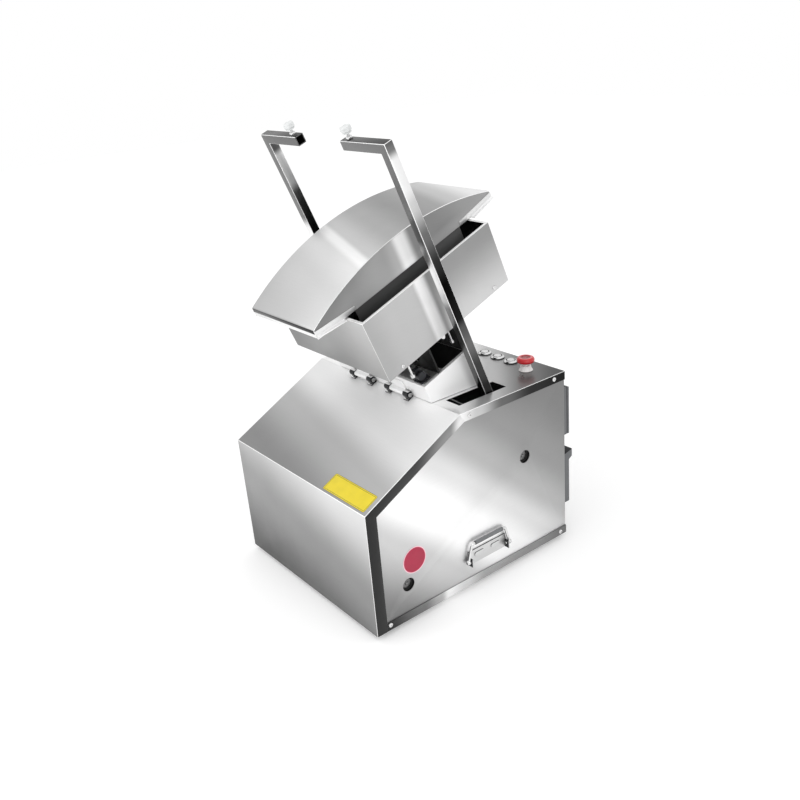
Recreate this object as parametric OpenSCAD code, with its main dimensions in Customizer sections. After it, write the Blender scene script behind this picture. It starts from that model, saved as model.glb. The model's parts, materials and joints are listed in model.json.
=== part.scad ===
/* [Cabinet] */
// Width of the cabinet across its side panels
cab_w = 500; // [470:5:620]
// Depth of the cabinet from its front sheet to its rear face
cab_d = 563; // [545:5:680]
// Height of the deck above the cabinet's bottom edge
cab_h = 411; // [400:1:450]
// Height of the upright front, where the slope begins
front_h = 282; // [240:2:300]
// Depth of the flat deck, from the crease to the rear edge
deck_d = 311; // [305:1:330]
// Thickness of the stainless sheet
sheet = 1.5; // [1:0.1:2]
// Width of the flange that the front sheet turns onto each side
front_strip = 27; // [20:1:35]
// Width of the flange that the slope turns onto each side
slope_strip = 23; // [18:1:32]
// Width of the flange round the deck and round the base pan
edge_strip = 20; // [16:1:26]
// Height of a rubber foot
foot_h = 12; // [8:1:20]
// Radius of a rubber foot
foot_r = 18; // [14:1:22]
// Distance of a foot's centre from the cabinet's edges
foot_inset = 60; // [50:2:90]

/* [Rocker and arms] */
// Height of the rocker shaft above the cabinet's bottom edge
rocker_z = 248; // [240:1:256]
// Distance of the rocker shaft from the cabinet's rear face
rocker_back = 129.5; // [120:0.5:140]
// Radius of the rocker shaft
rocker_r = 12.5; // [10:0.5:14]
// Lean of the arms and of the dough table towards the front, degrees
lean = 21.4; // [19:0.2:23]
// Radius of the arm tips about the rocker shaft
arm_reach = 747; // [740:1:790]
// Distance of an arm's centre from the cabinet's side face
arm_inset = 47; // [47:1:52]
// Side of the arms' square tube
tube = 20; // [18:1:24]
// Wall of the arms' square tube
tube_wall = 1.8; // [1.2:0.1:2.5]
// Length that each arm tip reaches inwards from the arm's centre
tip_len = 125; // [105:1:135]
// Forward swing of the arms from rest, degrees
swing_fore = 18; // [14:1:18]
// Backward swing of the arms from rest, degrees
swing_back = 10; // [6:1:10]
// Radius of a clamp screw's shank
clamp_r = 3; // [2.5:0.5:4]

/* [Dough table] */
// Half width of the dough table
table_half = 116; // [100:1:118]
// Radius of the curved table plate
table_r = 624.5; // [600:0.5:700]
// Height of the plate's crown above the rocker shaft
crown_n = 552.5; // [550:0.5:565]
// Half length of the table along its chord
table_half_len = 250; // [240:1:255]
// Thickness of the curved plate and its side plates
plate_t = 2; // [1.5:0.5:3]
// Width of the folded lips under the table's ends
lip_w = 12; // [8:1:14]
// Travel of the dough table away from the housing
lift = 100; // [60:5:100]
// Travel of the carriage to each side
traverse = 45; // [30:1:45]

/* [Housing and pedestal] */
// Gap between an arm and the housing's side
house_gap = 23; // [21:1:28]
// Half length of the housing
house_half_len = 178.5; // [170:0.5:182]
// Height of the housing's floor above the rocker shaft
house_n = 333; // [330:1:340]
// Height of the housing's walls
house_h = 143; // [138:1:146]
// Thickness of the housing's sheet
house_t = 2; // [1.5:0.5:3]
// Gap between the pedestal's rim and the housing's floor
stand_gap = 71; // [60:1:80]
// Gap between an arm and the pedestal's side
ped_gap = 28.5; // [26:0.5:37]
// Distance of the pedestal's front wall in front of the rocker shaft
ped_front = 110; // [106:1:113]
// Distance of the pedestal's rear wall behind the rocker shaft
ped_rear = 23; // [20:1:30]
// Radius of the traverse guide rods
rod_r = 8; // [6:0.5:10]
// Radius of the table's guide posts
post_r = 7; // [5:0.5:9]

/* [Lift rack and pinion] */
// Number of teeth on the lift pinion
pinion_teeth = 16; // [14:1:18]
// Module of the rack and the pinion
gear_module = 2; // [1.8:0.1:2.2]
// Width of the rack
rack_w = 16; // [10:1:20]
// Radius of the pinion's shaft
pinion_shaft_r = 6; // [5:0.5:8]
// Radius of the traverse screw
screw_r = 6; // [5:0.5:8]

/* [Crank drive] */
// Distance of the crank shaft behind the cabinet's front face
crank_front = 90.5; // [88:0.5:100]
// Height of the crank shaft above the cabinet's bottom edge
crank_z = 83; // [78:1:90]
// Radius of the crank shaft
crank_shaft_r = 12.5; // [10:0.5:14]
// Throw of the crank pin
throw = 25; // [18:1:26]
// Length of the rocker's lever
lever_len = 100; // [90:1:105]
// Radius of the lever pin
lever_pin_r = 6; // [5:0.5:8]
// Radius of the crank pin
crank_pin_r = 8; // [6:0.5:10]
// Radius of the large pulley
pulley_r = 70; // [60:1:72]
// Radius of the motor pulley
motor_pulley_r = 25; // [22:1:30]
// Radius of the motor
motor_r = 56; // [50:1:58]
// Length of the motor's body
motor_len = 180; // [150:5:190]

/* [Hinges, handles and controls] */
// Radius of the hinge pins
hinge_pin_r = 3; // [2.5:0.5:4]
// Radius of a hinge eye
eye_r = 7; // [6:0.5:8]
// Length of a side handle's plate
handle_len = 110; // [100:2:124]
// Height of a side handle's plate
handle_h = 33; // [28:1:40]
// Radius of a handle's bail
bail_r = 3; // [2.5:0.5:4]
// Height of the bail's grip above its pivots
bail_reach = 41; // [36:1:50]
// Radius of a push button's bezel
bezel_r = 15; // [12:0.5:16]
// Radius of the stop button's head
stop_r = 20; // [16:1:22]
// Travel of a push button
button_travel = 3; // [2:0.5:4]
// Travel of the stop button
stop_travel = 5; // [3:0.5:6]
// Radius of the speed knob
knob_r = 12; // [9:0.5:14]

/* [Fits] */
// Gap between sheets that are bolted together
seat = 0.2; // [0.1:0.1:0.5]
// Radial clearance of a shaft in its bearing
running = 0.05; // [0.03:0.01:0.1]
// Gap between pieces that move past each other
free_gap = 0.5; // [0.3:0.1:1]

/* [Hidden] */
$fn = 48;

// Amount by which a cut passes a face
cut = 1;

// Depth that the hooded vent reaches behind the cabinet
hood_reach = 46;
front_y = -cab_d / 2;
rear_y = cab_d / 2;
crease_y = rear_y - deck_d;
slope = atan2(cab_h - front_h, crease_y - front_y);
rocker_y = rear_y - rocker_back;
inner_x = cab_w / 2 - sheet - seat;
arm_x = cab_w / 2 - arm_inset;
house_half = arm_x - tube / 2 - house_gap;
ped_half = arm_x - tube / 2 - ped_gap;

// Place of the plates that carry the shafts, just inside the side panels
carrier_t = 4;
carrier_x = inner_x - sheet - 14;
carrier_front = 46;
carrier_top = 300;
shaft_end = inner_x - sheet - 6;

// Slots that the arms swing in
slot_gap = 19;
slot_x0 = arm_x - tube / 2 - slot_gap;
slot_x1 = arm_x + tube / 2 + 3;
slot_rise = cab_h - rocker_z;
slot_end_gap = 5;
slot_y0 = rocker_y - slot_rise * tan(lean + swing_fore)
        - tube / 2 / cos(lean + swing_fore) - slot_end_gap;
slot_y1 = rocker_y - slot_rise * tan(lean - swing_back)
        + tube / 2 / cos(lean - swing_back) + slot_end_gap;

// Tilted frame: u runs along the housing, n away from the rocker shaft
deck_above = cab_h - rocker_z;
function deck_n(u) = (deck_above - u * sin(lean)) / cos(lean);
rim_n = house_n - stand_gap;
wall_top_n = house_n + house_h;
crown_drop = table_r - sqrt(table_r * table_r - table_half_len * table_half_len);
end_n = crown_n - crown_drop;
side_low_n = wall_top_n + free_gap + 1;
end_lip = 14;

// Hinge between the cabinet and the pedestal, just in front of its foot
hinge_u = -ped_front - eye_r - 1;
hinge_n = deck_n(hinge_u) + eye_r;
lug_x = [33, 97];
lug_w = 16;

// Carriage inside the housing
guide_n = wall_top_n - 56;
guide_u = 120;
carriage_low_n = guide_n + 16;
carriage_t = 6;
post_u = 44;
post_x = 44;
frame_n = side_low_n + 1;
frame_t = 4;
bush_len = 30;
post_low_n = carriage_low_n - 4 - lift - 2;

// Pinion and rack of the lift
pitch_r = pinion_teeth * gear_module / 2;
pinion_u = -pitch_r;
pinion_n = rim_n + stand_gap / 2 + 2;
pinion_half = traverse + rack_w / 2 + 6;
rack_back = 8;
rack_low_n = pinion_n - lift - 14;
backlash = 0.25;

// Crank and its connecting rod
crank_y = front_y + crank_front;
drive_dy = crank_y - rocker_y;
drive_dz = crank_z - rocker_z;
drive_len = sqrt(drive_dy * drive_dy + drive_dz * drive_dz);
drive_angle = atan2(drive_dz, drive_dy);
mid_swing = (swing_fore - swing_back) / 2;
lever_angle = drive_angle + 90 - mid_swing;
rod_len = sqrt(drive_len * drive_len + lever_len * lever_len);
lever_y = rocker_y + lever_len * cos(lever_angle);
lever_z = rocker_z + lever_len * sin(lever_angle);
span_y = crank_y - lever_y;
span_z = crank_z - lever_z;
span = sqrt(span_y * span_y + span_z * span_z);
span_angle = atan2(span_z, span_y);
rod_turn = acos((rod_len * rod_len + span * span - throw * throw) / (2 * rod_len * span));
rod_angle = span_angle - rod_turn;
pin_y = lever_y + rod_len * cos(rod_angle);
pin_z = lever_z + rod_len * sin(rod_angle);
rod_t = 14;
disc_x = 28;
disc_t = 12;
stand_x = 66;
pulley_x = 130;
pulley_w = 22;
motor_y = rear_y - 130;
motor_z = motor_r + 10;
motor_x1 = 92;
belt_h = 8;
belt_w = 10;
belt_sink = 7;

// Controls on the deck
button_y = rear_y - 38;
button_x = [34.5, 77.5, 120.5];
stop_x = cab_w / 2 - 69;
stop_y = rear_y - 51.5;

// Side handles
handle_y = rear_y - 254;
handle_z = 52;
pivot_z = handle_z + 13;
panel_face = cab_w / 2 - sheet - seat;

// Frame with its origin on the floor, under the middle of the object's box
module placed() {
    translate([0, -hood_reach / 2, foot_h]) children();
}

// Frame along the arms: Y is u and Z is n
module tilted() {
    placed() translate([0, rocker_y, rocker_z]) rotate([lean, 0, 0]) children();
}

// A profile drawn in Y and Z, drawn out along X
module along_x(x0, length) {
    translate([x0, 0, 0]) rotate([90, 0, 90]) linear_extrude(length) children();
}

module rod_x(x0, length, r) {
    translate([x0, 0, 0]) rotate([0, 90, 0]) cylinder(h = length, r = r);
}

module both_sides() {
    children();
    mirror([1, 0, 0]) children();
}

module box_at(x, y, z) {
    translate([x[0], y[0], z[0]]) cube([x[1] - x[0], y[1] - y[0], z[1] - z[0]]);
}

// Height of a line that runs under the slope at a given depth
function under_slope(y, depth) = cab_h + (y - crease_y) * tan(slope) - depth / cos(slope);

// Where that line reaches a given height
function under_slope_y(z, depth) = crease_y + (z - cab_h + depth / cos(slope)) / tan(slope);

function side_outline(depth) = [
    [front_y + depth, depth],
    [front_y + depth, under_slope(front_y + depth, depth)],
    [under_slope_y(cab_h - depth, depth), cab_h - depth],
    [rear_y - depth, cab_h - depth],
    [rear_y - depth, depth]
];

strip_front = front_y + front_strip + seat;

module foot_places() {
    for (x = [-1, 1], y = [-1, 1])
        translate([x * (cab_w / 2 - foot_inset), y * (cab_d / 2 - foot_inset), 0]) children();
}

module base_pan() {
    x_in = cab_w / 2 - sheet - seat;
    color("silver") placed() difference() {
        union() {
            box_at([-x_in, x_in], [front_y + sheet + seat, rear_y], [0, sheet]);
            box_at([-cab_w / 2, cab_w / 2], [strip_front, rear_y], [0, sheet]);
            both_sides() box_at([cab_w / 2 - sheet, cab_w / 2], [strip_front, rear_y],
                [0, edge_strip]);
            box_at([-cab_w / 2, cab_w / 2], [rear_y - sheet, rear_y], [0, edge_strip]);
        }
        foot_places() translate([0, 0, -cut]) cylinder(h = sheet + 2 * cut, r = 4);
        for (y = [-60, -20, 20])
            box_at([-90, 90], [y - 4, y + 4], [-cut, sheet + cut]);
    }
}

module rubber_feet() {
    color("black") placed() foot_places() rotate_extrude()
        polygon([
            [0, -foot_h], [foot_r - 3, -foot_h], [foot_r - 1, -foot_h + 2],
            [foot_r, -3], [foot_r - 1, 0], [3.8, 0], [3.8, sheet + 3], [0, sheet + 3]
        ]);
}

module flange_profile() {
    z_low = cab_h - edge_strip;
    polygon([
        [front_y, 0],
        [front_y, front_h],
        [crease_y, cab_h],
        [crease_y, cab_h - sheet],
        [under_slope_y(z_low, slope_strip), z_low],
        [front_y + front_strip, under_slope(front_y + front_strip, slope_strip)],
        [front_y + front_strip, 0]
    ]);
}

module front_cover() {
    color("gainsboro") placed() {
        along_x(-cab_w / 2, cab_w) polygon([
            [front_y, 0],
            [front_y, front_h],
            [crease_y, cab_h],
            [crease_y, cab_h - sheet / cos(slope)],
            [front_y + sheet, under_slope(front_y + sheet, sheet)],
            [front_y + sheet, 0]
        ]);
        both_sides() along_x(cab_w / 2 - sheet, sheet) flange_profile();
    }
}

module deck_cover() {
    z_low = cab_h - edge_strip;
    y0 = crease_y + seat;
    color("gainsboro") placed() difference() {
        union() {
            box_at([-cab_w / 2, cab_w / 2], [y0, rear_y], [cab_h - sheet, cab_h]);
            box_at([-cab_w / 2, cab_w / 2], [rear_y - sheet, rear_y], [z_low, cab_h]);
            both_sides() along_x(cab_w / 2 - sheet, sheet) polygon([
                [y0, cab_h],
                [rear_y, cab_h],
                [rear_y, z_low],
                [under_slope_y(z_low, slope_strip) + seat, z_low],
                [y0, cab_h - sheet]
            ]);
        }
        both_sides() box_at([slot_x0, slot_x1], [slot_y0, slot_y1], [cab_h - 5, cab_h + cut]);
        for (x = button_x)
            translate([x, button_y, cab_h - 5]) cylinder(h = 10, r = bezel_r - 4);
        translate([knob_x, knob_y, cab_h - 5]) cylinder(h = 10, r = knob_stem_r + running);
        translate([stop_x, stop_y, cab_h - 5]) cylinder(h = 10, r = 11);
    }
}

// A side panel: one folded blank behind the flanges, open at its shaft holes
module side_panel(has_crank_hole) {
    inset = sheet + seat;
    hole_r = 15;
    color("whitesmoke") placed() difference() {
        along_x(inner_x - sheet, sheet) polygon(side_outline(inset));
        translate([0, rocker_y, rocker_z]) rod_x(inner_x - 5, 10, hole_r);
        if (has_crank_hole)
            translate([0, crank_y, crank_z]) rod_x(inner_x - 5, 10, hole_r);
    }
}

module side_panel_right() {
    side_panel(true);
}

module side_panel_left() {
    mirror([1, 0, 0]) side_panel(false);
}

module rear_panel() {
    x_side = inner_x - sheet - seat;
    y1 = rear_y - sheet - seat;
    vent_pitch = 12;
    color("silver") placed() difference() {
        box_at([-x_side, x_side], [y1 - sheet, y1], [sheet + seat, cab_h - sheet - seat]);
        for (x = [-150, -60, (rear_box_x[0] + rear_box_x[1]) / 2], i = [0 : 7])
            box_at([x - 30, x + 30], [y1 - 5, y1 + cut],
                [72 + i * vent_pitch, 77 + i * vent_pitch]);
    }
}

// Rear boxes: they seat on the rear panel between the flanges
rear_box_x = [cab_w / 2 - 140, cab_w / 2 - 22];
module rear_control_box() {
    y0 = rear_y - sheet;
    z0 = 240;
    z1 = 356;
    depth = 37;
    rim = 4;
    color("dimgray") placed() {
        box_at(rear_box_x, [y0, rear_y + depth - 8], [z0, z1]);
        box_at([rear_box_x[0] + rim, rear_box_x[1] - rim],
            [rear_y + depth - 8, rear_y + depth - 6], [z0 + rim, z1 - rim]);
        box_at(rear_box_x, [rear_y + depth - 6, rear_y + depth], [z0, z1]);
    }
}

module rear_vent_hood() {
    y0 = rear_y - sheet;
    z0 = 62;
    z1 = 172;
    wall = 2;
    depth = 36;
    hood = 25;
    x0 = rear_box_x[0];
    x1 = rear_box_x[1];
    color("darkgray") placed() difference() {
        along_x(x0, x1 - x0) polygon([
            [y0, z0], [rear_y + depth, z0], [rear_y + depth, z1],
            [rear_y + hood_reach, z1 + 6], [rear_y + hood_reach, z1 + hood], [y0, z1 + hood * 0.55]
        ]);
        along_x(x0 + wall, x1 - x0 - 2 * wall) polygon([
            [y0 - cut, z0 + wall], [rear_y + depth - wall, z0 + wall],
            [rear_y + depth - wall, z1 + wall], [rear_y + hood_reach - wall, z1 + 8],
            [rear_y + hood_reach - wall, z1 + hood - 2 * wall],
            [y0 - cut, z1 + hood * 0.55 - 2 * wall]
        ]);
        for (i = [0 : 5])
            box_at([x0 + 16, x1 - 16], [rear_y + depth - 5, rear_y + depth + cut],
                [z0 + 16 + i * 14, z0 + 22 + i * 14]);
    }
}

// Plate beside each side panel: it carries the shafts' bearings
module frame_plate(has_crank) {
    foot_w = 24;
    base_z = sheet;
    y_front = front_y + carrier_front;
    y_rear = rear_y - 60;
    window_r = 34;
    difference() {
        union() {
            along_x(carrier_x, carrier_t) polygon([
                [y_front, base_z], [y_front, crank_z + 55], [crank_y + 70, crank_z + 125],
                [rocker_y - 50, carrier_top], [rocker_y + 62, carrier_top], [y_rear, base_z]
            ]);
            box_at([carrier_x - foot_w, carrier_x], [y_front, y_rear],
                [base_z, base_z + carrier_t]);
        }
        translate([0, rocker_y, rocker_z]) rod_x(carrier_x - cut, 10, bearing_r + seat);
        if (has_crank)
            translate([0, crank_y, crank_z]) rod_x(carrier_x - cut, 10, bearing_r + seat);
        for (i = [0 : 1])
            translate([0, crank_y + 130 + i * 100, crank_z + 20 + i * 8])
                rod_x(carrier_x - cut, 10, window_r);
    }
}

module frame_plates() {
    color("slategray") placed() {
        frame_plate(true);
        mirror([1, 0, 0]) frame_plate(false);
    }
}

tie_r = 8;
tie_places = [[crank_y + 62, crank_z + 102], [rocker_y + 48, rocker_z + 36]];
module frame_ties() {
    color("gray") placed() for (p = tie_places)
        translate([0, p[0], p[1]]) {
            rod_x(-carrier_x + seat, 2 * (carrier_x - seat), tie_r);
        }
}

// Flanged bearing, seated in its plate from the inside
bearing_r = 26;
flange_r = 38;
module bearing_unit(shaft_r) {
    x0 = carrier_x - 12;
    difference() {
        union() {
            rod_x(x0, 16 + carrier_t, bearing_r);
            rod_x(carrier_x - 6 - seat, 6, flange_r);
            rod_x(x0 - 4, 4, shaft_r + 6);
        }
        rod_x(x0 - 5, 40, shaft_r + running);
    }
}

module flange_bearings() {
    color("darkslategray") placed() {
        translate([0, rocker_y, rocker_z]) both_sides() bearing_unit(rocker_r);
        translate([0, crank_y, crank_z]) bearing_unit(crank_shaft_r);
    }
}

module crank_stand() {
    w = 16;
    foot = 110;
    block_r = 28;
    color("darkslategray") placed() difference() {
        union() {
            box_at([stand_x - 6, stand_x + w + 6], [crank_y - foot / 2, crank_y + foot / 2],
                [sheet, sheet + 10]);
            along_x(stand_x, w) polygon([
                [crank_y - 44, sheet + 5], [crank_y + 44, sheet + 5],
                [crank_y + block_r, crank_z], [crank_y - block_r, crank_z]
            ]);
            translate([0, crank_y, crank_z]) rod_x(stand_x, w, block_r);
        }
        translate([0, crank_y, crank_z]) rod_x(stand_x - cut, w + 2, crank_shaft_r + running);
    }
}

module motor_body() {
    fins = 20;
    bell = 34;
    x0 = motor_x1 - motor_len;
    color("royalblue") placed() translate([0, motor_y, motor_z]) difference() {
        union() {
            rod_x(x0 + bell, motor_len - 2 * bell + 1, motor_r - 8);
            rotate([0, 90, 0]) rotate_extrude() polygon([
                [0, x0], [motor_r - 14, x0], [motor_r - 4, x0 + 8],
                [motor_r - 4, x0 + bell], [0, x0 + bell]
            ]);
            rotate([0, 90, 0]) rotate_extrude() polygon([
                [0, motor_x1 - bell], [motor_r - 2, motor_x1 - bell],
                [motor_r - 4, motor_x1 - 10], [motor_r - 26, motor_x1], [0, motor_x1]
            ]);
            for (i = [0 : fins - 1]) rotate([i * 360 / fins, 0, 0])
                box_at([x0 + bell - 1, motor_x1 - bell + 1], [-1.5, 1.5], [0, motor_r]);
        }
        rod_x(motor_x1 - 30, 40, motor_shaft_r + running);
    }
}

motor_shaft_r = 9.5;
module motor_shaft() {
    color("silver") placed() translate([0, motor_y, motor_z])
        rod_x(motor_x1 - 29, pulley_x + pulley_w / 2 - motor_x1 + 34, motor_shaft_r);
}

module pulley(r, hub_r, bore_r, web) {
    w = pulley_w;
    groove = belt_w + 1;
    floor_r = r - belt_sink - 1;
    rim_r = r - 16;
    translate([pulley_x, 0, 0]) rotate([0, 90, 0]) rotate_extrude()
        if (web) polygon([
            [bore_r, -w / 2], [hub_r, -w / 2], [hub_r, -3], [rim_r, -3], [rim_r, -w / 2],
            [r, -w / 2], [r, -groove / 2 - 1.5], [floor_r, -groove / 2],
            [floor_r, groove / 2], [r, groove / 2 + 1.5], [r, w / 2],
            [rim_r, w / 2], [rim_r, 3], [hub_r, 3], [hub_r, w / 2], [bore_r, w / 2]
        ]);
        else polygon([
            [bore_r, -w / 2], [r, -w / 2], [r, -groove / 2 - 1.5], [floor_r, -groove / 2],
            [floor_r, groove / 2], [r, groove / 2 + 1.5], [r, w / 2], [bore_r, w / 2]
        ]);
}

module motor_pulley() {
    color("dimgray") placed() translate([0, motor_y, motor_z])
        pulley(motor_pulley_r, motor_pulley_r, motor_shaft_r + running, false);
}

module crank_pulley() {
    holes = 5;
    hole_at = (pulley_r + 6) / 2;
    color("dimgray") placed() translate([0, crank_y, crank_z]) difference() {
        pulley(pulley_r, 24, crank_shaft_r + running, true);
        for (i = [0 : holes - 1]) rotate([i * 360 / holes, 0, 0])
            translate([0, hole_at, 0]) rod_x(pulley_x - 10, 20, 10);
    }
}

// Outline of a loop round the two pulleys, a given height above their rims
module belt_loop(rise) {
    link_bar([crank_y, crank_z], [motor_y, motor_z], pulley_r + rise, motor_pulley_r + rise);
}

module drive_belt() {
    color("black") placed() difference() {
        along_x(pulley_x - belt_w / 2, belt_w) belt_loop(belt_h - belt_sink);
        along_x(pulley_x - belt_w, 2 * belt_w) belt_loop(-belt_sink + free_gap);
    }
}

module motor_cradle() {
    x0 = motor_x1 - motor_len + 40;
    x1 = motor_x1 - 46;
    half = motor_r + 14;
    color("slategray") placed() difference() {
        union() {
            box_at([x0 - 10, x1 + 10], [motor_y - half, motor_y + half], [sheet, sheet + 5]);
            for (x = [x0, x1]) along_x(x - 5, 10) polygon([
                [motor_y - motor_r, sheet + 2], [motor_y + motor_r, sheet + 2],
                [motor_y + motor_r - 12, motor_z - 20], [motor_y - motor_r + 12, motor_z - 20]
            ]);
        }
        translate([0, motor_y, motor_z]) rod_x(x0 - 20, x1 - x0 + 40, motor_r + seat);
    }
}

// Rocker: shaft, hubs, mitred tubes and the forked lever
module rocker_shaft() {
    dimple_r = 4;
    chamfer = 2;
    color("silver") placed() translate([0, rocker_y, rocker_z]) rotate([0, 90, 0])
        rotate_extrude() polygon([
            [0, -shaft_end + 4], [dimple_r, -shaft_end], [rocker_r - chamfer, -shaft_end],
            [rocker_r, -shaft_end + chamfer], [rocker_r, shaft_end - chamfer],
            [rocker_r - chamfer, shaft_end], [dimple_r, shaft_end], [0, shaft_end - 4]
        ]);
}

hub_r = 22;
hub_w = 24;
module arm_hubs() {
    color("gray") tilted() both_sides() difference() {
        rod_x(arm_x - hub_w / 2, hub_w, hub_r);
        rod_x(arm_x - hub_w, 2 * hub_w, rocker_r + running);
    }
}

// The square tube: a straight run, a mitred corner and the tip with its open end
module tube_run(side, foot_n, x_open) {
    h = side / 2;
    box_at([arm_x - h, arm_x + h], [-h, h], [foot_n, arm_reach + h]);
    box_at([x_open, arm_x + h], [-h, h], [arm_reach - h, arm_reach + h]);
}

module arm() {
    x_tip = arm_x - tip_len;
    foot_n = hub_r - 2;
    wall = tube_wall;
    difference() {
        tube_run(tube, foot_n, x_tip);
        tube_run(tube - 2 * wall, hub_r + 6, x_tip - cut);
        rod_x(arm_x - tube, 2 * tube, hub_r + running);
        translate([x_tip + clamp_inset, 0, arm_reach]) cylinder(h = tube, r = clamp_r + 0.3);
    }
}

clamp_inset = 20;
nut_h = 6;
module arm_right() {
    color("lightgray") tilted() arm();
}

module arm_left() {
    color("lightgray") tilted() mirror([1, 0, 0]) arm();
}

module clamp_nuts() {
    nut_r = 2.1 * clamp_r;
    color("silver") tilted() both_sides()
        translate([arm_x - tip_len + clamp_inset, 0, arm_reach + tube / 2]) difference() {
            cylinder(h = nut_h, r = nut_r, $fn = 6);
            translate([0, 0, -cut]) cylinder(h = nut_h + 2 * cut, r = clamp_r + running);
        }
}

module clamp_screw() {
    lobes = 5;
    low = arm_reach + tube / 2 - tube_wall;
    knob_n = arm_reach + tube / 2 + nut_h + 6;
    knob_h = 14;
    translate([arm_x - tip_len + clamp_inset, 0, 0]) {
        translate([0, 0, low]) cylinder(h = knob_n - low + 2, r = clamp_r);
        translate([0, 0, knob_n]) cylinder(h = knob_h, r = 7.5);
        translate([0, 0, knob_n]) cylinder(h = 3, r = 9);
        for (i = [0 : lobes - 1]) rotate([0, 0, i * 360 / lobes])
            translate([8, 0, knob_n + 3]) cylinder(h = knob_h - 4, r = 3.6);
    }
}

module clamp_screw_right() {
    color("white") tilted() clamp_screw();
}

module clamp_screw_left() {
    color("white") tilted() mirror([1, 0, 0]) clamp_screw();
}

// A bar with straight flanks between two round ends, in the plane of Y and Z
module link_bar(p, q, rp, rq) {
    dy = q[0] - p[0];
    dz = q[1] - p[1];
    line = atan2(dz, dy);
    spread = acos((rp - rq) / sqrt(dy * dy + dz * dz));
    up = line + spread;
    down = line - spread;
    ip = rp - flank_inset;
    iq = rq - flank_inset;
    translate(p) circle(r = rp);
    translate(q) circle(r = rq);
    polygon([
        [p[0] + ip * cos(up), p[1] + ip * sin(up)],
        [p[0] + ip * cos(down), p[1] + ip * sin(down)],
        [q[0] + iq * cos(down), q[1] + iq * sin(down)],
        [q[0] + iq * cos(up), q[1] + iq * sin(up)]
    ]);
}

flank_inset = 0.1;
cheek_t = 8;
cheek_x = rod_t / 2 + free_gap;
module rocker_lever() {
    pivot = [rocker_y, rocker_z];
    eye = [lever_y, lever_z];
    color("slategray") placed() {
        difference() {
            union() {
                both_sides() along_x(cheek_x, cheek_t) link_bar(pivot, eye, 24, 14);
                translate([0, rocker_y, rocker_z]) rod_x(-cheek_x, 2 * cheek_x, 20);
            }
            translate([0, rocker_y, rocker_z]) rod_x(-50, 100, rocker_r + running);
        }
        translate([0, lever_y, lever_z]) rod_x(-cheek_x - 1, 2 * cheek_x + 2, lever_pin_r);
    }
}

module connecting_rod() {
    small_r = lever_pin_r + 8;
    big_r = crank_pin_r + 12;
    rib = 4;
    neck = 6;
    color("gray") placed() difference() {
        along_x(-rod_t / 2, rod_t)
            link_bar([lever_y, lever_z], [pin_y, pin_z], small_r, big_r);
        translate([0, lever_y, lever_z]) rod_x(-rod_t, 2 * rod_t, lever_pin_r + running);
        translate([0, pin_y, pin_z]) rod_x(-rod_t, 2 * rod_t, crank_pin_r + running);
        both_sides() translate([0, lever_y, lever_z]) rotate([rod_angle - 180, 0, 0])
            box_at([rod_t / 2 - rib, rod_t], [-rod_len + big_r + neck, -small_r - neck],
                [-small_r + neck, small_r - neck]);
    }
}

module crank_shaft() {
    chamfer = 2;
    color("silver") placed() translate([0, crank_y, crank_z]) rotate([0, 90, 0])
        rotate_extrude() polygon([
            [0, disc_x + 2], [crank_shaft_r, disc_x + 2], [crank_shaft_r, shaft_end - chamfer],
            [crank_shaft_r - chamfer, shaft_end], [4, shaft_end], [0, shaft_end - 4]
        ]);
}

module crank_disc() {
    disc_r = throw + crank_pin_r + 10;
    pin_end = rod_t / 2 + free_gap;
    color("slategray") placed() difference() {
        union() {
            translate([0, crank_y, crank_z]) rod_x(disc_x, disc_t, disc_r);
            translate([0, crank_y, crank_z]) rod_x(disc_x, disc_t + 14, 22);
            translate([0, pin_y, pin_z]) rod_x(pin_end, disc_x - pin_end + 1, crank_pin_r);
        }
        translate([0, crank_y, crank_z]) rod_x(disc_x + 2 - seat, 60, crank_shaft_r + running);
    }
}

// Pedestal: an open box with its walls along n, standing on the deck
module pedestal() {
    lip = 8;
    t = house_t;
    color("gainsboro") tilted() difference() {
        box_at([-ped_half, ped_half], [-ped_front, ped_rear], [120, rim_n]);
        box_at([-ped_half + t, ped_half - t], [-ped_front + t, ped_rear - t], [100, rim_n - t]);
        box_at([-ped_half + lip, ped_half - lip], [-ped_front + lip, ped_rear - lip],
            [100, rim_n + cut]);
        rotate([-lean, 0, 0])
            box_at([-cab_w, cab_w], [-cab_d, cab_d], [-20, deck_above + 2 * seat]);
    }
}

// Hinge lugs on the slope, two to each hinge: an eye on a block with a thin pad
module hinge_lugs() {
    pad_t = 2.5;
    low = seat - lug_rise;
    pad_back = min(7, -1 - lug_root);
    color("silver") placed() both_sides() for (x = lug_x) difference() {
        along_x(x - lug_w / 2, lug_w) translate([hinge_y, hinge_z]) {
            circle(r = eye_r);
            rotate(slope) polygon([
                [-10, low], [pad_back, low], [pad_back, low + pad_t], [4, low + pad_t],
                [4, -1.5], [-5, -1.5], [-5, low + pad_t], [-10, low + pad_t]
            ]);
        }
        translate([0, hinge_y, hinge_z]) rod_x(x - lug_w, 2 * lug_w, hinge_pin_r + running);
    }
}

hinge_y = rocker_y + hinge_u * cos(lean) - hinge_n * sin(lean);
hinge_z = rocker_z + hinge_u * sin(lean) + hinge_n * cos(lean);
lug_root = (hinge_y - crease_y) * cos(slope) + (hinge_z - cab_h) * sin(slope);
lug_rise = -(hinge_y - crease_y) * sin(slope) + (hinge_z - cab_h) * cos(slope);

module hinge_pins() {
    x0 = lug_x[0] - lug_w / 2 - 2;
    x1 = lug_x[1] + lug_w / 2 + 2;
    color("silver") placed() translate([0, hinge_y, hinge_z]) both_sides() {
        rod_x(x0, x1 - x0, hinge_pin_r);
        rod_x(x0 - 2, 2.5, hinge_pin_r + 1.5);
        rod_x(x1 - 0.5, 2.5, hinge_pin_r + 1.5);
    }
}

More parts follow.
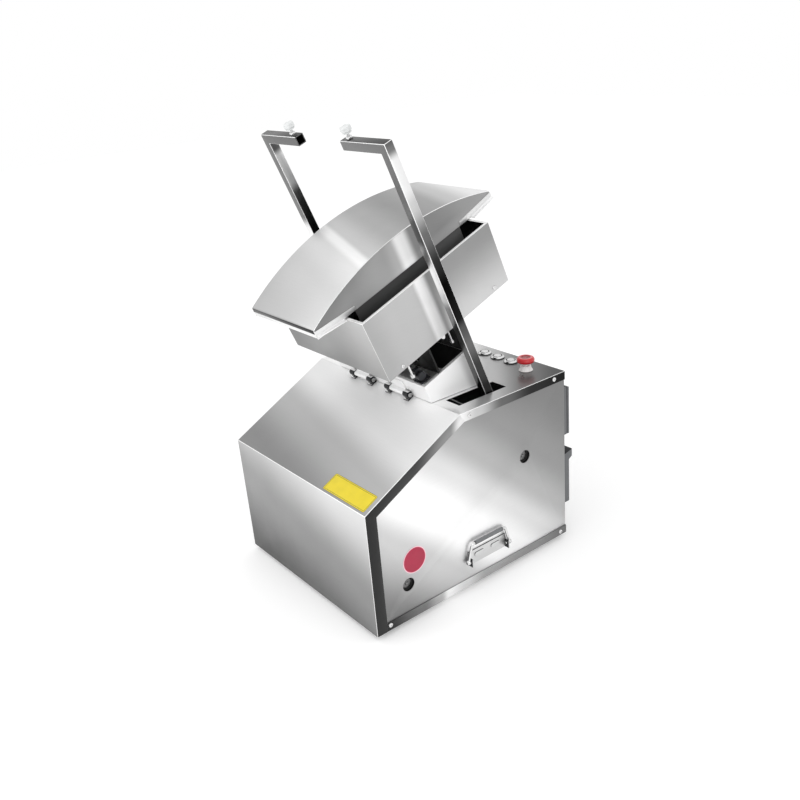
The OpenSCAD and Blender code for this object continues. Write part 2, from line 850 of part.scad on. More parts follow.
module hinge_leaves() {
    barrel_r = eye_r - 1.5;
    x0 = lug_x[0] + lug_w / 2 + free_gap;
    x1 = lug_x[1] - lug_w / 2 - free_gap;
    leaf_h = 26;
    leaf_t = 2;
    wall_u = -ped_front - seat;
    color("lightgray") tilted() both_sides() difference() {
        union() {
            translate([0, hinge_u, hinge_n]) rod_x(x0, x1 - x0, barrel_r);
            box_at([x0, x1], [wall_u - leaf_t, wall_u], [hinge_n - 3, hinge_n + leaf_h]);
            box_at([x0, x1], [hinge_u, wall_u - 1], [hinge_n + barrel_r - 2, hinge_n + barrel_r]);
        }
        translate([0, hinge_u, hinge_n]) rod_x(x0 - 5, x1 - x0 + 10, hinge_pin_r + running);
    }
}

// Two cross plates carry the housing over the pedestal
support_u = [-64, ped_rear - 8];
support_t = 4;
support_foot = 14;
module support_plates() {
    x_end = ped_half - 3;
    windows = 3;
    color("lightgray") tilted() for (i = [0, 1]) {
        u = support_u[i];
        way = i == 0 ? -1 : 1;
        difference() {
            union() {
                box_at([-x_end, x_end], [u, u + support_t], [rim_n + seat, house_n - seat]);
                box_at([-x_end, x_end],
                    [u + min(way, 0) * support_foot, u + support_t + max(way, 0) * support_foot],
                    [house_n - seat - support_t, house_n - seat]);
            }
            for (k = [-1 : windows - 2])
                translate([k * 90, u - 20, rim_n + stand_gap / 2]) rotate([-90, 0, 0])
                    cylinder(h = 60, r = 24);
        }
    }
}

// Housing: four walls with a turned-in rim, and a floor with a window
module housing_walls() {
    lip = 6;
    t = house_t;
    hole_r = 2.6;
    color("gainsboro") tilted() difference() {
        box_at([-house_half, house_half], [-house_half_len, house_half_len],
            [house_n, wall_top_n]);
        box_at([-house_half + t, house_half - t], [-house_half_len + t, house_half_len - t],
            [house_n - cut, wall_top_n - t]);
        box_at([-house_half + lip, house_half - lip],
            [-house_half_len + lip, house_half_len - lip], [house_n, wall_top_n + cut]);
        for (u = [-1, 1]) translate([0, u * panel_screw_u, house_n + panel_screw_n])
            rod_x(-house_half - cut, 2 * (house_half + cut), hole_r);
    }
}

panel_screw_u = 137;
panel_screw_n = 9;
window_u = 96;
module housing_floor() {
    t = house_t;
    x1 = house_half - t - seat;
    u1 = house_half_len - t - seat;
    fold = 18;
    window_x = post_x + traverse + post_r + 10;
    color("lightgray") tilted() difference() {
        box_at([-x1, x1], [-u1, u1], [house_n, house_n + fold]);
        box_at([-x1 + t, x1 - t], [-u1 + t, u1 - t], [house_n + t, house_n + fold + cut]);
        box_at([-window_x, window_x], [support_u[0] + support_t + 1, support_u[1] - 1],
            [house_n - cut, house_n + t + cut]);
        box_at([-window_x, window_x], [support_u[1] + support_t + support_foot + 1, window_u],
            [house_n - cut, house_n + t + cut]);
    }
}

block_w = 15;
block_x = house_half - house_t - seat;
module traverse_rods() {
    color("silver") tilted() for (u = [-1, 1]) translate([0, u * guide_u, guide_n])
        rod_x(-block_x + 2, 2 * (block_x - 2), rod_r);
}

module rod_blocks() {
    color("slategray") tilted() {
        for (u = [-1, 1]) translate([0, u * guide_u, guide_n]) both_sides() difference() {
            rod_x(block_x - block_w, block_w, rod_r + 7);
            rod_x(block_x - 2 * block_w, 2 * block_w + cut, rod_r + running);
        }
        translate([0, screw_u, screw_n]) difference() {
            rod_x(block_x - block_w, block_w, screw_r + 8);
            rod_x(block_x - 2 * block_w, 2 * block_w + cut, screw_r + running);
        }
    }
}

// Screw across the housing that moves the carriage
screw_u = 78;
screw_n = guide_n - 20;
module traverse_screw() {
    lead = 10;
    x0 = -block_x + motor_total - 8;
    x1 = block_x - 2;
    core_r = screw_r - 1.2;
    turns = floor((2 * (traverse + 20)) / lead * 2);
    groove = lead / 4;
    start = -turns * lead / 4;
    color("silver") tilted() translate([0, screw_u, screw_n]) difference() {
        rod_x(x0, x1 - x0, screw_r);
        for (i = [0 : turns - 1])
            translate([start + i * lead / 2, 0, 0]) rotate([0, 90, 0]) difference() {
                cylinder(h = groove, r = screw_r + cut);
                translate([0, 0, -cut]) cylinder(h = groove + 2 * cut, r = core_r);
            }
    }
}

// Bracket and roller that read the lift's end of travel
module limit_switch() {
    x = ped_half - 25;
    u = -ped_front + 15;
    n = rim_n + seat;
    color("dimgray") tilted() translate([x, u, n]) {
        box_at([-12, 12], [-11, 16], [0, 3]);
        box_at([-12, 0], [-8, 8], [2, 28]);
        translate([0, 0, 13]) {
            rod_x(-1, 6, 4);
            rod_x(3, 6, 10);
        }
    }
}

module traverse_carriage() {
    slider_x = 36;
    slider_w = 32;
    slider_u = 17;
    x_half = 60;
    color("slategray") tilted() difference() {
        union() {
            box_at([-x_half, x_half], [-guide_u - slider_u, guide_u + slider_u],
                [carriage_low_n, carriage_low_n + carriage_t]);
            for (u = [-1, 1], x = [-1, 1])
                translate([x * slider_x, u * guide_u, 0])
                    box_at([-slider_w / 2, slider_w / 2], [-slider_u, slider_u],
                        [guide_n - 16, carriage_low_n + 1]);
            box_at([-12, 12], [screw_u - 11, screw_u + 11], [screw_n - 11, carriage_low_n + 1]);
        }
        translate([0, screw_u, screw_n]) rod_x(-20, 40, screw_r + running);
        for (u = [-1, 1]) translate([0, u * guide_u, guide_n])
            rod_x(-200, 400, rod_r + running);
        for (u = [-1, 1], x = [-1, 1]) translate([x * post_x, u * post_u, carriage_low_n - cut])
            cylinder(h = 20, r = post_r + 5 + seat);
        box_at([-rack_w / 2 - 6, rack_w / 2 + 6], [-8, rack_back + 8],
            [carriage_low_n - cut, carriage_low_n + 20]);
    }
}

module guide_bushes() {
    low = carriage_low_n - 4;
    color("goldenrod") tilted() for (u = [-1, 1], x = [-1, 1])
        translate([x * post_x, u * post_u, 0]) difference() {
            union() {
                translate([0, 0, low]) cylinder(h = bush_len, r = post_r + 5);
                translate([0, 0, carriage_low_n + carriage_t + seat])
                    cylinder(h = 5, r = post_r + 11);
            }
            translate([0, 0, low - cut]) cylinder(h = bush_len + 2 * cut, r = post_r + running);
        }
}

// Height of the table's upper face at a distance u from its crown
function table_n(u, drop) = crown_n - table_r + sqrt((table_r - drop) * (table_r - drop) - u * u);
arc_steps = 28;
function arc_points(drop, half) =
    [for (i = [0 : arc_steps]) let (u = half - 2 * half * i / arc_steps) [u, table_n(u, drop)]];

module curved_plate() {
    t = plate_t;
    half_angle = asin(table_half_len / table_r);
    color("whitesmoke") tilted() {
        translate([-table_half, 0, crown_n - table_r]) rotate([0, 90, 0])
            rotate([0, 0, 180 - half_angle]) rotate_extrude(angle = 2 * half_angle, $fn = 240)
                translate([table_r - t, 0]) square([t, 2 * table_half]);
        for (side = [-1, 1])
            box_at([-table_half, table_half],
                side < 0 ? [-table_half_len, -table_half_len + t]
                         : [table_half_len - t, table_half_len],
                [end_n - end_lip, end_n - 0.4]);
    }
}

// Side plate: an arc over a straight edge that rises under each overhang
module table_sides() {
    t = plate_t;
    gap = seat;
    u_end = table_half_len - t - gap;
    u_rise = house_half_len + 4;
    end_low = end_n - end_lip;
    arc = arc_points(t + gap, u_end);
    outline = concat(arc, [[-u_end, end_low], [-u_rise, side_low_n],
        [u_rise, side_low_n], [u_end, end_low]]);
    color("silver") tilted() both_sides() {
        along_x(table_half - t, t) polygon(outline);
        for (side = [-1, 1])
            along_x(table_half - t / 2, lip_w + t / 2) polygon([
                [side * u_rise, side_low_n], [side * u_end, end_low],
                [side * u_end, end_low + t], [side * u_rise, side_low_n + t]
            ]);
    }
}

module table_frame() {
    x1 = table_half - plate_t - seat;
    u1 = house_half_len - 10;
    lip = 12;
    color("darkgray") tilted() difference() {
        union() {
            box_at([-x1, x1], [-u1, u1], [frame_n, frame_n + frame_t]);
            both_sides() box_at([x1 - 3, x1], [-u1, u1], [frame_n, frame_n + lip]);
            for (u = [-1, 1]) box_at([-x1, x1], [u * guide_u - 2, u * guide_u + 2],
                [frame_n, table_n(guide_u + 2, plate_t) - seat]);
        }
        for (u = [-1, 1], x = [-1, 1]) translate([x * post_x, u * post_u, frame_n - cut])
            cylinder(h = 20, r = post_r - 2 + seat);
        for (x = [-1, 1]) translate([x * 84, 0, frame_n - cut]) cylinder(h = 20, r = 16);
    }
}

module guide_posts() {
    color("silver") tilted() for (u = [-1, 1], x = [-1, 1])
        translate([x * post_x, u * post_u, 0]) {
            translate([0, 0, post_low_n]) cylinder(h = frame_n - seat - post_low_n, r = post_r);
            translate([0, 0, frame_n - 2]) cylinder(h = frame_t + 8, r = post_r - 2);
        }
}

// One tooth of the rack, pointing towards the pinion, at the origin
module rack_tooth() {
    m = gear_module;
    flank = tan(20);
    half = m * PI / 4 - backlash;
    polygon([
        [0.5, -half - 1.25 * m * flank], [-1.25 * m + 0.01, -half],
        [-2.1 * m, -half + 0.85 * m * flank], [-2.1 * m, half - 0.85 * m * flank],
        [-1.25 * m + 0.01, half], [0.5, half + 1.25 * m * flank]
    ]);
}

rack_root_u = 1.25 * gear_module;
module lift_rack() {
    m = gear_module;
    step = m * PI;
    first = ceil((rack_low_n + 4 - pinion_n) / step);
    last = floor((house_n - pinion_n) / step);
    color("gray") tilted() {
        along_x(-rack_w / 2, rack_w) {
            translate([rack_root_u, rack_low_n])
                square([rack_back, frame_n - seat - rack_low_n]);
            for (k = [first : last])
                translate([rack_root_u, pinion_n + k * step]) rack_tooth();
        }
        box_at([-rack_w, rack_w], [rack_root_u - 4, rack_root_u + rack_back + 4],
            [frame_n - seat - 6, frame_n - seat]);
    }
}

function involute(base, a) =
    [base * (cos(a) + a * PI / 180 * sin(a)), base * (sin(a) - a * PI / 180 * cos(a))];
function turned(p, a) = [p[0] * cos(a) - p[1] * sin(a), p[0] * sin(a) + p[1] * cos(a)];

// Involute outline of the pinion, with a tooth gap facing the rack
module pinion_outline() {
    m = gear_module;
    base = pitch_r * cos(20);
    tip_r = pitch_r + 0.8 * m;
    root_r = pitch_r - 1.2 * m;
    tip_a = sqrt(tip_r * tip_r / (base * base) - 1) * 180 / PI;
    pitch_a = tan(20) * 180 / PI - 20;
    half_a = 90 / pinion_teeth - backlash / pitch_r * 180 / PI;
    steps = 4;
    step_a = 360 / pinion_teeth;
    points = [for (k = [0 : pinion_teeth - 1]) each concat(
        [turned([root_r, 0], k * step_a - half_a - pitch_a)],
        [for (i = [0 : steps]) turned(involute(base, tip_a * i / steps),
            k * step_a - half_a - pitch_a)],
        [for (i = [steps : -1 : 0]) let (p = involute(base, tip_a * i / steps))
            turned([p[0], -p[1]], k * step_a + half_a + pitch_a)],
        [turned([root_r, 0], k * step_a + half_a + pitch_a)]
    )];
    rotate(step_a / 2) polygon(points);
}

bearing_x = pinion_half + 6;
module lift_pinion() {
    wheel_r = 14;
    wheel_x = bearing_x + 16;
    color("dimgray") tilted() translate([0, pinion_u, pinion_n]) {
        along_x(-pinion_half, 2 * pinion_half) pinion_outline();
        rod_x(-bearing_x - 18, 2 * bearing_x + 34, pinion_shaft_r);
        rod_x(wheel_x, 10, wheel_r);
    }
}

module pinion_bearings() {
    t = 8;
    u0 = support_u[0] + support_t + seat;
    u1 = support_u[1] - seat;
    color("slategray") tilted() both_sides() difference() {
        box_at([bearing_x, bearing_x + t], [u0, u1], [pinion_n - 16, pinion_n + 16]);
        translate([0, pinion_u, pinion_n]) rod_x(bearing_x - cut, t + 2, pinion_shaft_r + running);
    }
}

motor_total = 66;
module gear_motor(shaft_r) {
    half = 23;
    box_len = 30;
    difference() {
        union() {
            box_at([-box_len, 0], [-half, half], [-half, half]);
            rod_x(-motor_total, motor_total - box_len + 1, half - 3);
        }
        rod_x(-12, 20, shaft_r + running);
    }
}

module gear_motors() {
    color("dimgray") tilted() {
        translate([-bearing_x - 8 - seat, pinion_u, pinion_n]) gear_motor(pinion_shaft_r);
        translate([-block_x + motor_total, screw_u, screw_n]) gear_motor(screw_r);
    }
}

// Controls
cap_r = bezel_r - 5.3;
stop_neck_r = 6.7;
module control_bezels() {
    barrel = 38;
    in_r = cap_r + 0.3;
    out_r = bezel_r - 4 - seat;
    color("silver") placed() {
        for (x = button_x) translate([x, button_y, cab_h]) rotate_extrude() polygon([
            [in_r, -barrel], [out_r, -barrel], [out_r, seat], [bezel_r, seat],
            [bezel_r, 3], [bezel_r - 2, 6], [in_r, 6]
        ]);
        translate([stop_x, stop_y, cab_h]) rotate_extrude() polygon([
            [stop_neck_r + 0.3, -barrel], [10.8, -barrel], [10.8, seat], [stop_r - 5, seat],
            [stop_r - 5, 3], [12, 6], [12, 12], [stop_neck_r + 0.3, 12]
        ]);
    }
}

module push_cap(x) {
    rise = 4.5 + button_travel;
    placed() translate([x, button_y, cab_h]) rotate_extrude() polygon([
        [0, -20], [cap_r, -20], [cap_r, rise - 1], [cap_r - 1, rise], [0, rise]
    ]);
}

module start_button() {
    color("lightgray") push_cap(button_x[0]);
}

module pause_button() {
    color("lightgray") push_cap(button_x[1]);
}

module lift_button() {
    color("lightgray") push_cap(button_x[2]);
}

module stop_button() {
    r = stop_r;
    low = 13 + stop_travel;
    color("crimson") placed() translate([stop_x, stop_y, cab_h]) rotate_extrude() polygon([
        [0, -10], [stop_neck_r, -10], [stop_neck_r, low], [r - 6, low], [r - 2, low + 2],
        [r, low + 6], [r - 1, low + 10], [r - 5, low + 13], [r - 9, low + 13],
        [r - 11, low + 11.5], [0, low + 11.5]
    ]);
}

knob_x = -32;
knob_y = rear_y - 31.5;
knob_stem_r = 4;
module speed_knob() {
    rise = 20;
    ribs = 12;
    color("black") placed() translate([knob_x, knob_y, cab_h]) difference() {
        rotate_extrude() polygon([
            [0, -16], [knob_stem_r, -16], [knob_stem_r, 1], [knob_r, 1], [knob_r, 4],
            [knob_r - 2, 5], [knob_r - 3, rise - 1], [knob_r - 4, rise], [0, rise]
        ]);
        for (i = [0 : ribs - 1]) rotate(i * 360 / ribs)
            translate([knob_r - 1.5, 0, 5.5]) cylinder(h = rise, r = 1.2, $fn = 16);
    }
}

// Side handles: a pressed plate with two ears, and a bail folded flat against it
module handle_plate() {
    x0 = panel_face + seat;
    ear_x = 14;
    t = 2;
    y0 = handle_y - handle_len / 2;
    y1 = handle_y + handle_len / 2;
    difference() {
        union() {
            box_at([x0, x0 + t], [y0, y1], [handle_z, handle_z + handle_h]);
            for (y = [y0, y1 - t]) box_at([x0, x0 + ear_x], [y, y + t],
                [handle_z, handle_z + 20]);
            for (y = [-1, 1]) translate([x0, handle_y + y * 24, handle_z + 20])
                along_y_slot(t + 1.5);
        }
        translate([0, y0 - cut, pivot_z]) rotate([-90, 0, 0]) translate([x0 + 8, 0, 0])
            cylinder(h = handle_len + 2 * cut, r = bail_r + running);
    }
}

// A raised oval pressing on the handle's plate
module along_y_slot(h) {
    half = 9;
    for (y = [-1, 1]) translate([0, y * half, 0]) rod_x(0, h, 5);
    box_at([0, h], [-half, half], [-5, 5]);
}

module handle_plates() {
    color("gainsboro") placed() both_sides() handle_plate();
}

module handle_bail() {
    x = panel_face + seat + 8;
    out = handle_len / 2 + 6;
    grip_half = handle_len / 2 - 6;
    lean_in = atan2(out - grip_half, bail_reach);
    leg = sqrt((out - grip_half) * (out - grip_half) + bail_reach * bail_reach);
    r = bail_r;
    top = pivot_z + bail_reach;
    placed() translate([x, handle_y, 0]) {
        for (s = [-1, 1]) {
            translate([0, s * out, pivot_z]) rotate([s * 90, 0, 0])
                cylinder(h = 12, r = r);
            translate([0, s * out, pivot_z]) sphere(r = r + 2.5);
            translate([0, s * out, pivot_z]) rotate([s * lean_in, 0, 0]) cylinder(h = leg, r = r);
            translate([0, s * grip_half, top]) sphere(r = r + 1.5);
        }
        translate([0, -grip_half, top]) rotate([-90, 0, 0]) cylinder(h = 2 * grip_half, r = r + 1.5);
    }
}

module handle_bail_right() {
    color("dimgray") handle_bail();
}

module handle_bail_left() {
    color("dimgray") mirror([1, 0, 0]) handle_bail();
}

base_pan();
front_cover();
deck_cover();
side_panel_left();
side_panel_right();
rear_panel();
rear_control_box();
rear_vent_hood();
rubber_feet();
frame_plates();
frame_ties();
flange_bearings();
crank_stand();
motor_body();
motor_cradle();
drive_belt();
handle_plates();
control_bezels();
hinge_lugs();
hinge_pins();
rocker_shaft();
arm_left();
arm_right();
arm_hubs();
rocker_lever();
clamp_nuts();
clamp_screw_left();
clamp_screw_right();
connecting_rod();
crank_shaft();
crank_disc();
crank_pulley();
motor_shaft();
motor_pulley();
pedestal();
hinge_leaves();
support_plates();
housing_walls();
housing_floor();
traverse_rods();
rod_blocks();
pinion_bearings();
gear_motors();
limit_switch();
traverse_screw();
traverse_carriage();
guide_bushes();
curved_plate();
table_sides();
table_frame();
guide_posts();
lift_rack();
lift_pinion();
start_button();
pause_button();
lift_button();
stop_button();
speed_knob();
handle_bail_left();
handle_bail_right();
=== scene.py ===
import json
from math import atan2, cos, pi, radians, sin, tan

import bmesh
import bpy
from mathutils import Matrix, Vector

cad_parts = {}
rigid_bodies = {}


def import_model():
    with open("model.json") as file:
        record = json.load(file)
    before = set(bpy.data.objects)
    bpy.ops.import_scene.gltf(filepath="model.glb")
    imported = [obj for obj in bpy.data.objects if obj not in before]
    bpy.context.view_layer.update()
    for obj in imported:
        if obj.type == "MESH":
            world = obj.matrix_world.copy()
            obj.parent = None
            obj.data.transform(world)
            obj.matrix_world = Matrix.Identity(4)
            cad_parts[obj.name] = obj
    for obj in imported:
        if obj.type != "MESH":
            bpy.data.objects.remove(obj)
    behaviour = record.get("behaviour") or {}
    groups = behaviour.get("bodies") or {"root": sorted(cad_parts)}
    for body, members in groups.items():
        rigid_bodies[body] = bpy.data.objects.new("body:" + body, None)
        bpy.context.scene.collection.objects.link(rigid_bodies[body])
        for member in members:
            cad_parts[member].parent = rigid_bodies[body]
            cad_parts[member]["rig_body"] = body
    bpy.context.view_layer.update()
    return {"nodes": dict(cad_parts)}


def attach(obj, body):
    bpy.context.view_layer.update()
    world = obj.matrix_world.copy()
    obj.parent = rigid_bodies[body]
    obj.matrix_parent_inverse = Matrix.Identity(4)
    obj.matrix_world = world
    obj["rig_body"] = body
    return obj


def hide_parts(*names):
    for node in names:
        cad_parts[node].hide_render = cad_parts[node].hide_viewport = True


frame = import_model()
nodes = frame["nodes"]
print("frame loaded:", len(nodes), "nodes")

# Frames in millimetres: the cabinet's own, the tilted one of arms and housing, the slope's
cabinetBox = {"front": -281.5, "rear": 281.5, "side": 250, "crease": -29.5, "frontHeight": 282, "deck": 411}
lean = radians(21.4)
slope = atan2(cabinetBox["deck"] - cabinetBox["frontHeight"], cabinetBox["crease"] - cabinetBox["front"])
cabinetAt = Vector((0, -23, 12))
rockerAt = Vector((0, 152, 248))
cabinet = Matrix.Scale(0.001, 4) @ Matrix.Translation(cabinetAt)
tilted = cabinet @ Matrix.Translation(rockerAt) @ Matrix.Rotation(lean, 4, "X")
sloped = (cabinet @ Matrix.Translation((0, cabinetBox["front"], cabinetBox["frontHeight"]))
          @ Matrix.Rotation(slope, 4, "X"))
mirrored = Matrix.Scale(-1, 4, (1, 0, 0))

# Ways in space: across the machine, along the table, away from the cabinet
alongX = Vector((1, 0, 0))
alongU = Vector((0, cos(lean), sin(lean)))
alongN = Vector((0, -sin(lean), cos(lean)))


# Materials: each reads Object coordinates; a tone is a grey of 0 to 255.
# Noise scales are in features to the metre, and each skin is a bump's (strength, distance).
noiseScale = {"bloom": 4, "rub": 9, "patch": 18, "grain": 20, "haze": 30, "paper": 40, "worn": 45, "dull": 60,
              "film": 70, "rings": 90, "ripple": 120, "tool": 300}
skin = {"brushed": (0.05, 0.00004), "turned": (0.08, 0.00006), "film": (0.08, 0.0002), "paper": (0.02, 0.001)}
castDepth = 0.0002


def linear(value):
    v = value / 255
    return v / 12.92 if v <= 0.04045 else ((v + 0.055) / 1.055) ** 2.4


def colour(*rgb):
    return tuple(linear(v) for v in (rgb if len(rgb) == 3 else rgb * 3)) + (1,)


def addNode(tree, kind, inputs=None, **settings):
    node = tree.nodes.new(kind)
    for key, value in settings.items():
        setattr(node, key, value)
    for key, value in (inputs or {}).items():
        node.inputs[key].default_value = value
    return node


def newMaterial(name, **sockets):
    material = bpy.data.materials.new(name)
    material.use_nodes = True
    shader = material.node_tree.nodes["Principled BSDF"]
    for key, value in sockets.items():
        shader.inputs[key].default_value = value
    return material, material.node_tree, shader


def rampAlong(tree, coords, line, tones):
    # A colour that runs along a line in space; line is (direction, start, stop) in metres
    way, start, stop = line
    dot = addNode(tree, "ShaderNodeVectorMath", operation="DOT_PRODUCT")
    dot.inputs[1].default_value = Vector(way).normalized()
    tree.links.new(coords, dot.inputs[0])
    reach = addNode(tree, "ShaderNodeMapRange", {"From Min": start, "From Max": stop})
    tree.links.new(dot.outputs["Value"], reach.inputs["Value"])
    ramp = addNode(tree, "ShaderNodeValToRGB")
    ramp.color_ramp.interpolation = "EASE"
    band = ramp.color_ramp.elements
    while len(band) < len(tones):
        band.new(0.5)
    for element, (place, tone) in zip(band, tones):
        element.position = place
        element.color = colour(tone)
    tree.links.new(reach.outputs["Result"], ramp.inputs["Fac"])
    return ramp.outputs["Color"]


def mixed(tree, factor, first, second, mode="MIX"):
    # A colour mix; factor, first and second are each a value or a socket
    mix = addNode(tree, "ShaderNodeMix", data_type="RGBA", blend_type=mode)
    for socket, value in ((mix.inputs["Factor"], factor), (mix.inputs[6], first), (mix.inputs[7], second)):
        if isinstance(value, bpy.types.NodeSocket):
            tree.links.new(value, socket)
        else:
            socket.default_value = value
    return mix.outputs[2]


def noiseOf(tree, coords, scale, stretch=(1, 1, 1), detail=4.0, low=0.0, high=1.0):
    mapping = addNode(tree, "ShaderNodeMapping", {"Scale": stretch})
    tree.links.new(coords, mapping.inputs["Vector"])
    noise = addNode(tree, "ShaderNodeTexNoise", {"Scale": scale, "Detail": detail})
    tree.links.new(mapping.outputs["Vector"], noise.inputs["Vector"])
    span = addNode(tree, "ShaderNodeMapRange",
                   {"From Min": 0.3, "From Max": 0.7, "To Min": low, "To Max": high})
    tree.links.new(noise.outputs["Fac"], span.inputs["Value"])
    return span.outputs["Result"]


def bumpFrom(tree, shader, height, strength, distance):
    bump = addNode(tree, "ShaderNodeBump", {"Strength": strength, "Distance": distance})
    tree.links.new(height, bump.inputs["Height"])
    tree.links.new(bump.outputs["Normal"], shader.inputs["Normal"])


def brushedSteel(name, tones, line=(alongX, -1, 1), grain=(1, 90, 90), rough=0.3, cloud=0.04, lines=0.03,
                 metal=1.0, second=None):
    # Brushed sheet: a tone along a line that paints light, shade and reflections, a cloudy bloom, fine grain
    # lines and rubbed patches. A second (tones, line, line of the change-over) takes over along its own way.
    material, tree, shader = newMaterial(name, Metallic=metal)
    coords = addNode(tree, "ShaderNodeTexCoord").outputs["Object"]
    tone = rampAlong(tree, coords, line, tones)
    if second:
        otherTones, otherLine, change = second
        share = rampAlong(tree, coords, change, [(0, 0), (1, 255)])
        tone = mixed(tree, share, tone, rampAlong(tree, coords, otherLine, otherTones))
    bloom = noiseOf(tree, coords, noiseScale["bloom"], detail=1.5, low=1 - cloud, high=1 + cloud * 0.5)
    tone = mixed(tree, 1.0, tone, bloom, "MULTIPLY")
    fine = noiseOf(tree, coords, noiseScale["grain"], stretch=grain, detail=5.0)
    streak = addNode(tree, "ShaderNodeMapRange", {"To Min": 1 - lines, "To Max": 1 + lines * 0.4})
    tree.links.new(fine, streak.inputs["Value"])
    tone = mixed(tree, 1.0, tone, streak.outputs["Result"], "MULTIPLY")
    tree.links.new(tone, shader.inputs["Base Color"])
    rub = noiseOf(tree, coords, noiseScale["rub"], detail=3.0, low=rough * 0.88, high=rough * 1.12)
    tree.links.new(rub, shader.inputs["Roughness"])
    bumpFrom(tree, shader, fine, *skin["brushed"])
    return material


def castSurface(name, tone, rough=0.55, metallic=0.0, grit=420.0, depth=0.35, spread=0.15, coat=0.0):
    # Painted or cast surface with a fine orange-peel skin and darker patches at random
    material, tree, shader = newMaterial(name, Metallic=metallic)
    shader.inputs["Coat Weight"].default_value = coat
    coords = addNode(tree, "ShaderNodeTexCoord").outputs["Object"]
    patch = noiseOf(tree, coords, noiseScale["patch"], detail=3.0, low=1 - spread, high=1 + spread * 0.4)
    tree.links.new(mixed(tree, 1.0, colour(*tone), patch, "MULTIPLY"), shader.inputs["Base Color"])
    dull = noiseOf(tree, coords, noiseScale["dull"], detail=3.0, low=rough * 0.85, high=min(1, rough * 1.15))
    tree.links.new(dull, shader.inputs["Roughness"])
    bumpFrom(tree, shader, noiseOf(tree, coords, grit, detail=2.0), depth, castDepth)
    return material


def turnedSteel(name, tone, rough=0.18, rings=(1, 1, 1)):
    # Turned or plated metal: bright, with fine tool rings and a little haze
    material, tree, shader = newMaterial(name, Metallic=1.0)
    coords = addNode(tree, "ShaderNodeTexCoord").outputs["Object"]
    haze = noiseOf(tree, coords, noiseScale["haze"], detail=3.0, low=0.9, high=1.04)
    tree.links.new(mixed(tree, 1.0, colour(*tone), haze, "MULTIPLY"), shader.inputs["Base Color"])
    worn = noiseOf(tree, coords, noiseScale["rings"], stretch=rings, low=rough * 0.7, high=rough * 1.4)
    tree.links.new(worn, shader.inputs["Roughness"])
    marks = noiseOf(tree, coords, noiseScale["tool"], stretch=rings, detail=2.0)
    bumpFrom(tree, shader, marks, *skin["turned"])
    return material


def printedFilm(name, tone, rough):
    # Printed plastic film: even colour, faint rubbed patches and a slight ripple
    material, tree, shader = newMaterial(name)
    shader.inputs["Coat Weight"].default_value = 0.1
    coords = addNode(tree, "ShaderNodeTexCoord").outputs["Object"]
    worn = noiseOf(tree, coords, noiseScale["worn"], low=0.93, high=1.03)
    tree.links.new(mixed(tree, 1.0, colour(*tone), worn, "MULTIPLY"), shader.inputs["Base Color"])
    tree.links.new(noiseOf(tree, coords, noiseScale["film"], low=rough * 0.8, high=rough * 1.2),
                   shader.inputs["Roughness"])
    bumpFrom(tree, shader, noiseOf(tree, coords, noiseScale["ripple"], detail=2.0), *skin["film"])
    return material


print("material builders ready")


# Shaping helpers: all work in millimetres, in the frame that the piece is placed by.
# Refining merges near points, drops flat edges and rounds folds and rims from these angles on.
refining = {"weld": 0.002, "flat": 0.4, "foldFrom": 20, "foldFace": 4, "rimFrom": 40}


def vertsOf(made):
    return [g for g in made if isinstance(g, bmesh.types.BMVert)]


def edgesOf(made):
    return [g for g in made if isinstance(g, bmesh.types.BMEdge)]


def bevelled(bm, edges, width, segments=3, affect="EDGES"):
    if edges:
        bmesh.ops.bevel(bm, geom=edges, offset=width, offset_type="OFFSET", segments=segments, profile=0.5,
                        material=-1, affect=affect, clamp_overlap=True)


def sharpEdges(bm, angle=40, convexOnly=False):
    return [e for e in bm.edges if len(e.link_faces) == 2 and e.calc_face_angle(0) > radians(angle)
            and (e.is_convex or not convexOnly)]


def outward(bm):
    # Normals that agree, with the highest face looking up
    bmesh.ops.recalc_face_normals(bm, faces=bm.faces)
    if max(bm.faces, key=lambda f: f.calc_center_median().z).normal.z < 0:
        bmesh.ops.reverse_faces(bm, faces=bm.faces)


def addTo(target, part, place=None):
    if place is not None:
        part.transform(place)
    spare = bpy.data.meshes.new("spare")
    part.to_mesh(spare)
    part.free()
    target.from_mesh(spare)
    bpy.data.meshes.remove(spare)
    return target


def finishPiece(name, bm, body, materials, place=None, replaces=(), angle=32, paint=None):
    # Place the mesh, smooth it, give each face its finish by the paint rule, and hand it to its body
    if place is not None:
        bm.transform(place)
    bmesh.ops.remove_doubles(bm, verts=bm.verts, dist=1e-7)
    bmesh.ops.recalc_face_normals(bm, faces=bm.faces)
    mesh = bpy.data.meshes.new(name)
    bm.to_mesh(mesh)
    bm.free()
    for face in mesh.polygons:
        face.use_smooth = True
    mesh.set_sharp_from_angle(angle=radians(angle))
    piece = bpy.data.objects.new(name, mesh)
    bpy.context.scene.collection.objects.link(piece)
    for material in materials if isinstance(materials, (list, tuple)) else [materials]:
        mesh.materials.append(material)
    if paint:
        for face in mesh.polygons:
            face.material_index = paint(Vector(face.center) * 1000, face.normal)
    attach(piece, body)
    if replaces:
        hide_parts(*replaces)


